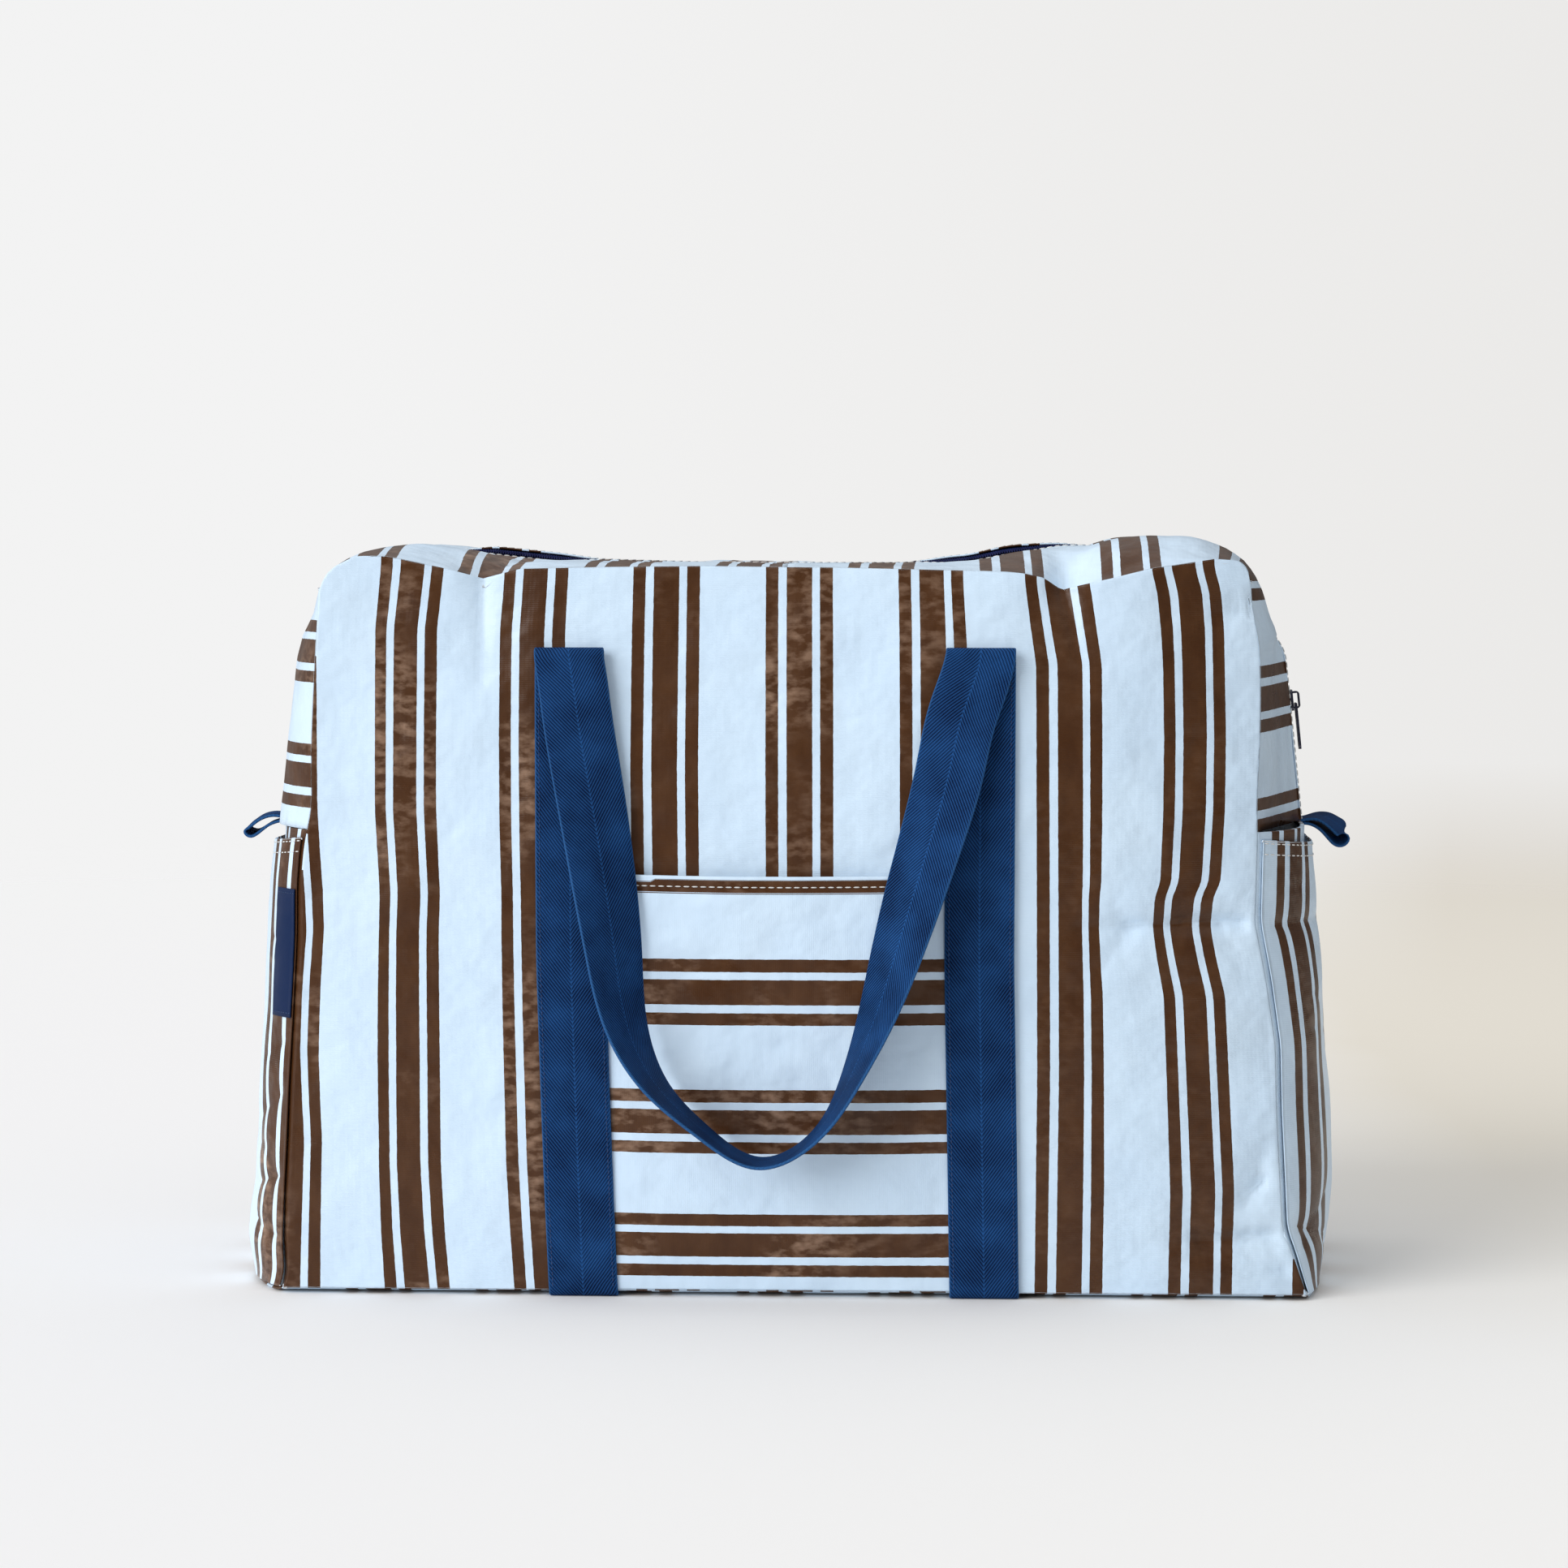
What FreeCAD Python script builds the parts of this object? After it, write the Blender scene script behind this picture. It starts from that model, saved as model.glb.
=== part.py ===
import FreeCAD, Part
import os
from math import atan, cos, degrees, radians, sin, sqrt

os.makedirs("parts", exist_ok=True)
Vec = FreeCAD.Vector

# Soft zip-top holdall, in millimetres. Front is -Y, up is +Z, the origin is under the middle of the base.

# body of the bag, measured at the sewn edges of the front and back panels
seam_height = 400
seam_half_width = 257
base_flare = 20  # how much wider each side is at the floor
flare_height = 260
corner_radius = 35
half_depth_base = 120
half_depth_top = 112
panel_crown = 10  # how far the stuffed front and back stand out in the middle
cloth = 1.2
edge_gap = 0.4
panel_inset = 1.6  # the front and back panels end this far inside the seam line
panel_bottom = 3.8
base_bottom = 2.0
base_top = 3.4

# end of the bag
end_panel_top = 254.0
gusset_bottom = 256.5
zip_line_x = 289.5  # the end zip passes here at zip_line_z, and leans inward above it
zip_line_z = 262.0
zip_line_lean = 0.105
zip_line_angle = degrees(atan(zip_line_lean))
flap_half_length = 200
flap_gap = 0.3

# pockets
front_pocket_bottom, front_pocket_top = 4.5, 231.0
front_pocket_left, front_pocket_right = -116.0, 108.0
front_pocket_gape = 7.0
end_pocket_top = 247.0
pocket_lift = 0.35

# webbing
web_width = 38.0
web = 1.8
strap_lift = 2.1
strap_top = 353.0
strap_bottom = 2.2
left_strap_top_x, left_strap_bottom_x = -117.0, -110.0
right_strap_top_x, right_strap_bottom_x = 107.0, 109.0

# zip
zip_gusset_edge = 9.0
tape_outer, tape_inner = 15.0, 0.8
tape_low, tape_high = -2.4, -1.6
coil_outer, coil_inner = 3.0, 0.6
coil_low, coil_high = -1.3, 0.6
slider_z = 323.5

front_y = Vec(0, 1, 0)
side_x = Vec(1, 0, 0)
middle = Vec(0, 0, 0)


def half_depth(z):
    return half_depth_base + (half_depth_top - half_depth_base) * z / seam_height


def half_width(z, inset=0.0):
    """Half the width of the front panel at height z, with its rounded top corners."""
    rise = z - (seam_height - corner_radius)
    if rise > 0:
        radius = corner_radius - inset
        return seam_half_width - corner_radius + sqrt(max(radius**2 - rise**2, 0))
    return seam_half_width - inset + base_flare * max(0, 1 - z / flare_height) ** 1.3


def bulge(t):
    return 1 - abs(t) ** 3


def front_reach(x, z):
    """How far the front panel stands forward of the bag's middle."""
    up = bulge((z - seam_height / 2) / (seam_height / 2))
    return half_depth(z) + panel_crown * bulge(x / half_width(z)) * up


def spline(points):
    curve = Part.BSplineCurve()
    curve.interpolate(points)
    return curve.toShape()


def band_wire(near, far):
    """A closed outline of two curves, joined at both ends."""
    return Part.Wire(
        [
            spline(near),
            Part.makeLine(near[-1], far[-1]),
            spline(list(reversed(far))),
            Part.makeLine(far[0], near[0]),
        ]
    )


def blend_height(table, z):
    """Straight-line interpolation in a short list of (height, value)."""
    for (z0, v0), (z1, v1) in zip(table, table[1:]):
        if z <= z1:
            return v0 + (v1 - v0) * max(0, z - z0) / (z1 - z0)
    return table[-1][1]


def spaced(start, end, count):
    return [start + (end - start) * i / (count - 1) for i in range(count)]


def save(name, shape):
    solids = shape.Solids
    if len(solids) != 1 or not shape.isValid():
        print("CHECK", name, len(solids), shape.isValid())
    solids[0].exportStep(f"parts/{name}.step")
    print(name, round(solids[0].Volume), "mm3")


def save_mirrored(name, other, shape, normal):
    save(name, shape)
    save(other, shape.mirror(middle, normal))


# Front and back panels
panel_wires = []
for z in (panel_bottom, 30, 75, 130, 200, 262, 320, 352, 372, 386, 394, 398.3):
    w = half_width(z, panel_inset)
    xs = [w * s for s in spaced(-1, 1, 15)]
    outer = [Vec(x, -front_reach(x, z), z) for x in xs]
    inner = [p + Vec(0, cloth, 0) for p in outer]
    panel_wires.append(band_wire(outer, inner))
front_panel = Part.makeLoft(panel_wires, True, False)
save_mirrored("front_panel", "back_panel", front_panel, front_y)


# Base panel, a flat plate with the outward bulge of the two ends
base_bulge = 25.0
base_half_width = half_width(0) - 1
base_edge = half_depth_base - 0.4
base_ys = spaced(-base_edge, base_edge, 15)
right_edge = [Vec(base_half_width + base_bulge * bulge(y / half_depth_base), y, base_bottom) for y in base_ys]
left_edge = [Vec(-p.x, p.y, p.z) for p in right_edge]
base_face = Part.Face(band_wire(right_edge, left_edge))
save("base_panel", base_face.extrude(Vec(0, 0, base_top - base_bottom)))


# Cloth strips that run over the ends and the top. A station is where the strip's section stands: a point on
# the seam line, the outward direction there, and how far the strip bulges outward in the middle of the bag.
def strip(stations, y_from, y_to, low, high, count=9):
    wires = []
    for x, z, nx, nz, rise in stations:
        depth = half_depth(z)
        ys = spaced(y_from(depth), y_to(depth), count)
        heights = [rise * bulge(y / depth) for y in ys]
        rows = [
            [Vec(x + nx * (h + shift), y, z + nz * (h + shift)) for y, h in zip(ys, heights)]
            for shift in (high, low)
        ]
        wires.append(band_wire(*rows))
    return Part.makeLoft(wires, True, False)


def at(y):
    return lambda depth: y


def front_seam(depth):
    return edge_gap - depth


def back_seam(depth):
    return depth - edge_gap


def end_zip_x(z):
    return zip_line_x - zip_line_lean * (z - zip_line_z)


# the stations stand evenly along the path: up the end, round the corner and in to the flap
arc_x, arc_z = seam_half_width - corner_radius, seam_height - corner_radius
end_path = [(seam_half_width, z, 1, 0, end_zip_x(z) - seam_half_width) for z in spaced(gusset_bottom, arc_z, 11)]
for angle, rise in ((18, 19.8), (36, 17.9), (54, 16.2), (72, 14.9), (90, 14)):
    c, s = cos(radians(angle)), sin(radians(angle))
    end_path.append((arc_x + corner_radius * c, arc_z + corner_radius * s, c, s, rise))
end_path += [(x, seam_height, 0, 1, 14) for x in (211, flap_half_length + flap_gap)]

flap_end = flap_half_length - flap_gap
top_path = [(x, seam_height, 0, 1, 4 + 10 * (x / flap_half_length) ** 2) for x in spaced(-flap_end, flap_end, 13)]

# name, nearest and furthest reach from the zip's middle, and its depth under the gusset's face
zip_strips = (
    ("gusset", front_seam, at(-zip_gusset_edge), -cloth, 0.0),
    ("zip_tape", at(-tape_outer), at(-tape_inner), tape_low, tape_high),
    ("zip_coil", at(-coil_outer), at(-coil_inner), coil_low, coil_high),
)
for name, y_from, y_to, low, high in zip_strips:
    count = 11 if name == "gusset" else 4
    end = strip(end_path, y_from, y_to, low, high, count)
    for side, shape in (("right", end), ("left", end.mirror(middle, side_x))):
        save_mirrored(f"front_{name}_{side}", f"back_{name}_{side}", shape, front_y)
    top = strip(top_path, y_from, y_to, low, high, count)
    save_mirrored(f"front_{name}_top", f"back_{name}_top", top, front_y)


# End panels and the slip pockets over them
end_panel_mid = ((0, 291), (60, 297), (150, 296), (205, 293.4), (258, 289.9))
end_pocket_mid = ((0, 301.5), (30, 309), (60, 311), (150, 307.5), (205, 303.5), (258, 298.6))


def end_path_below(heights, table, lift=0.0):
    return [(half_width(z), z, 1, 0, blend_height(table, z) - half_width(z) - lift) for z in heights]


end_panel = strip(
    end_path_below((panel_bottom, 30, 60, 105, 150, 205, 230, end_panel_top), end_panel_mid),
    front_seam, back_seam, -cloth, 0.0, 17,
)
save_mirrored("right_end_panel", "left_end_panel", end_panel, side_x)

pocket_heights = (panel_bottom, 30, 60, 105, 150, 205, 230, end_pocket_top)
end_pocket = strip(
    end_path_below(pocket_heights, end_pocket_mid, pocket_lift),
    lambda depth: -0.975 * depth, lambda depth: 0.975 * depth, pocket_lift, pocket_lift + cloth, 17,
)
save_mirrored("right_end_pocket", "left_end_pocket", end_pocket, side_x)

# Woven label, sewn flat on the left end pocket beside the front seam
label_bottom, label_top, label_thick = 152.0, 223.0, 0.6
label_front, label_back = 2.5, 16.0  # distance behind the front seam
label = strip(
    end_path_below((label_bottom, 170, 188, 205, label_top), end_pocket_mid, pocket_lift),
    lambda depth: label_front - depth, lambda depth: label_back - depth,
    pocket_lift + cloth + 0.3, pocket_lift + cloth + 0.3 + label_thick, 5,
)
save("side_label", label.mirror(middle, side_x))


# Front slip pocket, caught under both front straps
pocket_centre = (front_pocket_left + front_pocket_right) / 2
gape_half_width = 88.0


def pocket_gape(x, z):
    across = min(1, abs((x - pocket_centre) / gape_half_width))
    up = min(1, (z - front_pocket_bottom) / 75)
    return front_pocket_gape * bulge(across) * (1 - (1 - up) ** 2)


pocket_wires = []
for z in (front_pocket_bottom, 20, 40, 60, 80, 110, 150, 190, front_pocket_top):
    inner = [
        Vec(x, -(front_reach(x, z) + 0.45 + pocket_gape(x, z)), z)
        for x in spaced(front_pocket_left, front_pocket_right, 29)
    ]
    outer = [p - Vec(0, cloth, 0) for p in inner]
    pocket_wires.append(band_wire(outer, inner))
save("front_pocket", Part.makeLoft(pocket_wires, True, False))


# Webbing straps: up the front and back panels, and under the base
def web_strap(bottom_x, top_x):
    wires = []
    for z in (strap_bottom, 30, 80, 140, 200, 260, 310, strap_top):
        x = bottom_x + (top_x - bottom_x) * (z - strap_bottom) / (strap_top - strap_bottom)
        near = -(front_reach(abs(x) - web_width / 2, z) + strap_lift)
        corners = [
            Vec(x + side * web_width / 2, near - lift, z)
            for side, lift in ((-1, 0), (1, 0), (1, web), (-1, web), (-1, 0))
        ]
        wires.append(Part.makePolygon(corners))
    return Part.makeLoft(wires, True, False)


strap_sides = (
    ("left", left_strap_bottom_x, left_strap_top_x),
    ("right", right_strap_bottom_x, right_strap_top_x),
)
for side, bottom_x, top_x in strap_sides:
    save_mirrored(f"front_strap_{side}", f"back_strap_{side}", web_strap(bottom_x, top_x), front_y)
    reach = half_depth_base + strap_lift + web + 0.3
    under = Part.makeBox(web_width, 2 * reach, web, Vec(bottom_x - web_width / 2, -reach, 0))
    save(f"base_strap_{side}", under)


# Handles: one length of webbing, from a fold at the top of one strap to the other. Each row is the middle of
# the webbing and the turn of its width, from 0 (flat to the bag) to 90 (edge to the bag, at the lowest point).
handle_clear = 2.0
handle_hinge_y = -(front_reach(left_strap_top_x + web_width, strap_top) + strap_lift + web + handle_clear + web / 2)
handle_left = (
    (left_strap_top_x, handle_hinge_y, strap_top, 0),
    (-113, -128.5, 320, 5),
    (-107, -131.5, 289, 11),
    (-101, -136, 255, 20),
    (-95.5, -142, 222, 30),
    (-91, -147, 192, 41),
    (-84, -152, 153, 58),
    (-68, -156, 120, 74),
    (-42, -157, 93, 85),
    (-11, -157.5, 76, 90),
)
handle_right = (
    (18, -157, 91, 85),
    (37, -156.5, 122, 74),
    (51, -153.5, 158, 58),
    (63, -148.5, 196, 41),
    (72, -144, 226, 30),
    (82, -137, 259, 20),
    (90.5, -131.5, 289, 11),
    (98.5, -128.5, 320, 5),
    (right_strap_top_x, handle_hinge_y, strap_top, 0),
)


def handle_shape():
    rows = [(Vec(x, y, z), Vec(-cos(radians(a)), -sin(radians(a)), 0)) for x, y, z, a in handle_left]
    rows += [(Vec(x, y, z), Vec(cos(radians(a)), -sin(radians(a)), 0)) for x, y, z, a in handle_right]
    path = Part.BSplineCurve()
    path.interpolate([point for point, across in rows], InitialTangent=Vec(0, 0, -1), FinalTangent=Vec(0, 0, 1))
    corner_rows = []
    for point, across in rows:
        along = path.tangent(path.parameter(point))[0]
        across = (across - along * across.dot(along)).normalize()
        face = along.cross(across).normalize()
        corner_rows.append(
            [
                point + across * (u * web_width / 2) + face * (v * web / 2)
                for u, v in ((-1, -1), (1, -1), (1, 1), (-1, 1))
            ]
        )
    edges = [spline(list(corner)) for corner in zip(*corner_rows)]
    faces = [Part.makeRuledSurface(edges[i - 1], edges[i]) for i in range(4)]
    faces += [Part.Face(Part.makePolygon(row + row[:1])) for row in (corner_rows[0], corner_rows[-1])]
    shell = Part.makeCompound(faces)
    shell.sewShape()
    body = Part.makeSolid(shell.Shells[0])
    if body.Volume < 0:
        body.reverse()
    for x in (left_strap_top_x, right_strap_top_x):
        fold = Part.makeCylinder(web / 2, web_width, Vec(x - web_width / 2, handle_hinge_y, strap_top), side_x)
        body = body.fuse(fold)
    return body


save_mirrored("front_handle", "back_handle", handle_shape(), front_y)


# Grab loops: webbing folded in half, with its ends caught between the end panel and the gusset
loop_half_width = 12.5
loop_root_x, loop_root_z, loop_root_radius = 292.8, 255.5, 1.9
loop_outer = (
    (292.8, 257.4), (300, 258.9), (309, 257.4), (316, 253), (319, 248.8),
    (316.5, 245.4), (309, 245.2), (300.5, 250.1), (292.8, 253.6),
)
loop_inner = (
    (298.5, 254.5), (304, 256.4), (310, 255), (315, 251.6), (316.9, 248.8),
    (315.2, 247.3), (309.6, 247.3), (303.5, 251),
)


def loop_point(x, z):
    return Vec(x, -loop_half_width, z)


outer_curve = spline([loop_point(x, z) for x, z in loop_outer])
root_arc = Part.Arc(
    loop_point(*loop_outer[-1]),
    loop_point(loop_root_x - loop_root_radius, loop_root_z),
    loop_point(*loop_outer[0]),
).toShape()
hole = Part.BSplineCurve()
hole.interpolate([loop_point(x, z) for x, z in loop_inner], PeriodicFlag=True)
loop_solid = Part.Face(Part.Wire([outer_curve, root_arc])).extrude(Vec(0, 2 * loop_half_width, 0))
loop_space = Part.Face(Part.Wire([hole.toShape()])).extrude(Vec(0, 2 * loop_half_width, 0))
save_mirrored("right_grab_loop", "left_grab_loop", loop_solid.cut(loop_space), side_x)


# Zip slider and its pull, drawn upright on the zip line, with X outward, and then leaned with the end of the bag
def block(x0, x1, half_y, z0, z1):
    return Part.makeBox(x1 - x0, 2 * half_y, z1 - z0, Vec(x0, -half_y, z0))


def edges_along(shape, axis, keep):
    return [
        e for e in shape.Edges
        if abs(abs((e.Vertexes[-1].Point - e.Vertexes[0].Point).normalize().dot(axis)) - 1) < 1e-6 and keep(e)
    ]


def lean(shape):
    shape.rotate(middle, Vec(0, 1, 0), -zip_line_angle)
    shape.translate(Vec(end_zip_x(slider_z), 0, slider_z))
    return shape


plate_low, plate_high, plate_half_width, plate_half_length = 0.95, 2.4, 4.8, 6.0
top_plate = block(plate_low, plate_high, plate_half_width, -plate_half_length, plate_half_length)
top_plate = top_plate.makeFillet(1.8, edges_along(top_plate, side_x, lambda e: True))
back_plate = block(-4.0, -2.8, 4.2, -5.5, 5.5)
back_plate = back_plate.makeFillet(1.5, edges_along(back_plate, side_x, lambda e: True))
post = block(-3.0, 1.2, 0.25, -1.5, 1.5)
flange = Part.makeBox(2.4, 1.2, 8.0, Vec(-1.2, 3.5, -4.0))
bridge_half_length, bridge_high, bridge_wall, bridge_half_width = 5.0, 6.4, 1.2, 1.0
bridge = block(plate_high - 0.2, bridge_high, bridge_half_width, -bridge_half_length, bridge_half_length)
bridge_corners = edges_along(bridge, front_y, lambda e: e.CenterOfMass.x > bridge_high - 0.1)
bridge = bridge.makeFillet(2.0, bridge_corners)
bridge_room = bridge_half_length - bridge_wall
bridge = bridge.cut(block(plate_high, bridge_high - bridge_wall, 3.0, -bridge_room, bridge_room))
slider = top_plate.fuse([back_plate, post, flange, flange.mirror(middle, front_y), bridge]).removeSplitter()
save("zip_slider", lean(slider))

pull_x, pull_top, pull_length, pull_half_width, pull_half_thick = 3.8, -2.3, 26.0, 3.2, 0.7
pull_end = pull_top - pull_length
pull = block(pull_x - pull_half_thick, pull_x + pull_half_thick, pull_half_width, pull_end, pull_top)
pull_corners = edges_along(pull, side_x, lambda e: e.CenterOfMass.z < pull_end + 1)
pull = pull.makeFillet(2.2, pull_corners)
for hole_top, hole_length in ((pull_top - pull_half_thick, 7.8), (pull_top - 19.5, 4.8)):
    pull = pull.cut(block(pull_x - 2, pull_x + 2, 1.7, hole_top - hole_length, hole_top))
pin = Part.makeCylinder(pull_half_thick, 2 * pull_half_width, Vec(pull_x, -pull_half_width, pull_top), front_y)
save("zip_pull", lean(pull.fuse(pin).removeSplitter()))
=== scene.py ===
import math

import bpy
import numpy as np
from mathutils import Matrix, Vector


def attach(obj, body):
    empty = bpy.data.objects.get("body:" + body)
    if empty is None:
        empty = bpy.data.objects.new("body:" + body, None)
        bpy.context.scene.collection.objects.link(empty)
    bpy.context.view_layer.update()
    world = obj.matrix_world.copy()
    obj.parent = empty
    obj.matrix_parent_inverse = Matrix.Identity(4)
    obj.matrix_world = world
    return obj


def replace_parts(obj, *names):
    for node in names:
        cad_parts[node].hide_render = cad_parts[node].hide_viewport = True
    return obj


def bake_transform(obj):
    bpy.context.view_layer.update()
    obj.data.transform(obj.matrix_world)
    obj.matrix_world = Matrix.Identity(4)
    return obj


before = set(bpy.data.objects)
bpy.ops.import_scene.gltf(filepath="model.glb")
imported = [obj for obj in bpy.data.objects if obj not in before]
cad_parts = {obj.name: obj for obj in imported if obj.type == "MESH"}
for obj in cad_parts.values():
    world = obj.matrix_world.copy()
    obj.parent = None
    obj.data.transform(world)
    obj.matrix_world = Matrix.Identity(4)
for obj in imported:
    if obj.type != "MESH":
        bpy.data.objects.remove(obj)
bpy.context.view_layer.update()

# Soft zip-top holdall of striped laminated cloth. Shapes are worked out in millimetres and made in metres.
mm = 0.001
print("frame loaded:", len(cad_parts), "CAD nodes")


def lineThrough(points, soften=0.0):  # value along a list of (place, value), its corners eased over soften
    a = np.array(sorted(points), float)
    shifts = (-1, -0.5, 0, 0.5, 1)

    def value(t):
        t = np.asarray(t, float)
        return sum(np.interp(t + d * soften, a[:, 0], a[:, 1]) for d in shifts) / len(shifts)
    return value


def smoothThrough(knots, count):  # natural cubic spline through rows of numbers, even along its length
    p = np.array(knots, float)
    t = np.concatenate([[0], np.cumsum(np.linalg.norm(np.diff(p[:, :3], axis=0), axis=1))])
    h = np.diff(t)
    system, right = np.eye(len(p)), np.zeros_like(p)
    for i in range(1, len(p) - 1):
        system[i, i - 1:i + 2] = h[i - 1], 2 * (h[i - 1] + h[i]), h[i]
        right[i] = 3 * ((p[i + 1] - p[i]) / h[i] - (p[i] - p[i - 1]) / h[i - 1])
    c = np.linalg.solve(system, right)
    u = np.linspace(0, t[-1], count)
    i = np.clip(np.searchsorted(t, u) - 1, 0, len(p) - 2)
    d, hi = (u - t[i])[:, None], h[i][:, None]
    b = (p[i + 1] - p[i]) / hi - hi * (2 * c[i] + c[i + 1]) / 3
    return p[i] + b * d + c[i] * d * d + (c[i + 1] - c[i]) / (3 * hi) * d ** 3


def bulge(t):  # 1 in the middle, flat there, and 0 at -1 and 1
    return 1 - np.abs(t) ** 3


def ease(t):  # smooth step from 0 to 1
    t = np.clip(t, 0, 1)
    return t * t * (3 - 2 * t)


def lengthAlong(points):
    steps = np.linalg.norm(np.diff(points, axis=0), axis=1)
    return np.concatenate([[0], np.cumsum(steps)])


def waves(a, b, seed, longest, shortest, count=16):  # soft undulation, about -1 to 1
    rng = np.random.RandomState(seed)
    total = np.zeros(np.broadcast(a, b).shape)
    for k in range(count):
        length = longest * (shortest / longest) ** (k / (count - 1))
        turn, phase = rng.uniform(0, 2 * math.pi, 2)
        way = (a * math.cos(turn) + b * math.sin(turn)) * 2 * math.pi / length
        total = total + (length / longest) ** 0.8 * np.sin(way + phase + 0.8 * np.sin(way * 0.37 + 2 * phase))
    return total / math.sqrt(count)


# how deep the cloth is folded in at each point; a fold is x0, z0, x1, z1, depth, width, deepest at its start
def creases(a, b, folds):
    deep = np.zeros(np.broadcast(a, b).shape)
    for x0, z0, x1, z1, depth, width in folds:
        dx, dz = x1 - x0, z1 - z0
        t = np.clip(((a - x0) * dx + (b - z0) * dz) / (dx * dx + dz * dz), 0, 1)
        away = np.hypot(a - x0 - t * dx, b - z0 - t * dz)
        deep = deep + depth * (1 - 0.75 * t) * np.exp(-away / width)
    return deep


def crinkles(seed, count, box, depth):  # short random folds inside a box
    rng = np.random.RandomState(seed)
    folds = []
    for _ in range(count):
        x, z = rng.uniform(box[0], box[1]), rng.uniform(box[2], box[3])
        turn, length = rng.uniform(0, math.pi), rng.uniform(10, 42)
        folds.append((x, z, x + length * math.cos(turn), z + length * math.sin(turn),
                      depth * rng.uniform(0.25, 1), rng.uniform(1.6, 4.5)))
    return folds


def meshPiece(name, points, faces, uv, materials, faceMaterial, sharp):
    mesh = bpy.data.meshes.new(name)
    mesh.from_pydata((np.asarray(points) * mm).tolist(), [], faces)
    for m in materials:
        mesh.materials.append(m)
    mesh.polygons.foreach_set("material_index", np.asarray(faceMaterial, np.int32))
    mesh.polygons.foreach_set("use_smooth", ~np.asarray(sharp, bool))
    loops = np.zeros(len(mesh.loops), np.int32)
    mesh.loops.foreach_get("vertex_index", loops)
    layer = mesh.uv_layers.new(name="Cut")
    layer.data.foreach_set("uv", (np.asarray(uv)[loops] * mm).astype(np.float32).ravel())
    mesh.update()
    mesh.validate()
    piece = bpy.data.objects.new(name, mesh)
    bpy.context.scene.collection.objects.link(piece)
    return piece


# a grid of points made a thin closed sheet; columns go right and rows go up, seen from outside
def closedSheet(name, outer, cut, thick, materials, flip=False):
    if flip:
        outer, cut = outer[:, ::-1], cut[:, ::-1]
    rows, cols = outer.shape[:2]
    normal = np.cross(np.gradient(outer, axis=1), np.gradient(outer, axis=0))
    normal /= np.maximum(np.linalg.norm(normal, axis=2, keepdims=True), 1e-9)
    points = np.concatenate([outer.reshape(-1, 3), (outer - normal * thick).reshape(-1, 3)])
    index = np.arange(rows * cols).reshape(rows, cols)
    inside = index + rows * cols

    def quads(a, b, c, d):
        return np.stack([a, b, c, d], -1).reshape(-1, 4)
    front = quads(index[:-1, :-1], index[:-1, 1:], index[1:, 1:], index[1:, :-1])
    back = quads(inside[:-1, :-1], inside[1:, :-1], inside[1:, 1:], inside[:-1, 1:])
    rim = [
        quads(index[0, :-1], inside[0, :-1], inside[0, 1:], index[0, 1:]),
        quads(index[-1, :-1], index[-1, 1:], inside[-1, 1:], inside[-1, :-1]),
        quads(index[:-1, 0], index[1:, 0], inside[1:, 0], inside[:-1, 0]),
        quads(index[:-1, -1], inside[:-1, -1], inside[1:, -1], index[1:, -1]),
    ]
    faces = np.concatenate([front, back, *rim])
    kind = np.zeros(len(faces), int)
    kind[len(front):len(front) + len(back)] = 1
    sharp = np.arange(len(faces)) >= len(front) + len(back)
    uv = np.concatenate([cut.reshape(-1, 2)] * 2)
    return meshPiece(name, points, faces.tolist(), uv, materials, kind, sharp)


def ribbonPiece(name, centre, across, width, thick, materials):  # flat webbing with round edges
    along = np.gradient(centre, axis=0)
    along /= np.linalg.norm(along, axis=1, keepdims=True)
    across = across - along * np.sum(across * along, 1, keepdims=True)
    across /= np.linalg.norm(across, axis=1, keepdims=True)
    face = np.cross(along, across)
    half, r = width / 2, thick / 2
    flat = np.linspace(-half + r, half - r, 9)
    turn = np.radians([60, 20, -20, -60])
    section = [(a, r) for a in flat]
    section += [(half - r + r * math.cos(t), r * math.sin(t)) for t in turn]
    section += [(a, -r) for a in flat[::-1]]
    section += [(-half + r - r * math.cos(t), -r * math.sin(t)) for t in turn]
    section = np.array(section)
    n, m = len(centre), len(section)
    points = centre[:, None] + across[:, None] * section[None, :, :1] + face[:, None] * section[None, :, 1:]
    length = lengthAlong(centre)
    uv = np.stack(np.broadcast_arrays(section[None, :, 0] + half, length[:, None]), -1)
    index = np.arange(n * m).reshape(n, m)
    nxt = np.roll(index, -1, axis=1)
    faces = np.stack([index[:-1], index[1:], nxt[1:], nxt[:-1]], -1).reshape(-1, 4).tolist()
    faces += [index[0].tolist(), index[-1][::-1].tolist()]
    sharp = [False] * (len(faces) - 2) + [True, True]
    uv = uv.reshape(-1, 2)
    piece = meshPiece(name, points.reshape(-1, 3), faces, uv, materials, [0] * len(faces), sharp)
    if volumeOf(piece) < 0:  # the section can run either way round
        piece.data.flip_normals()
    return piece


def volumeOf(piece):
    mesh = piece.data
    mesh.calc_loop_triangles()
    co = np.zeros(len(mesh.vertices) * 3)
    mesh.vertices.foreach_get("co", co)
    tri = np.zeros(len(mesh.loop_triangles) * 3, np.int32)
    mesh.loop_triangles.foreach_get("vertices", tri)
    a, b, c = np.moveaxis(co.reshape(-1, 3)[tri.reshape(-1, 3)], 1, 0)
    return float(np.sum(np.cross(a, b) * c)) / 6


def newMaterial(name, fixed):
    mat = bpy.data.materials.new(name)
    mat.use_nodes = True
    shader = mat.node_tree.nodes["Principled BSDF"]
    for socket, value in fixed.items():
        shader.inputs[socket].default_value = value
    return mat, shader


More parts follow.
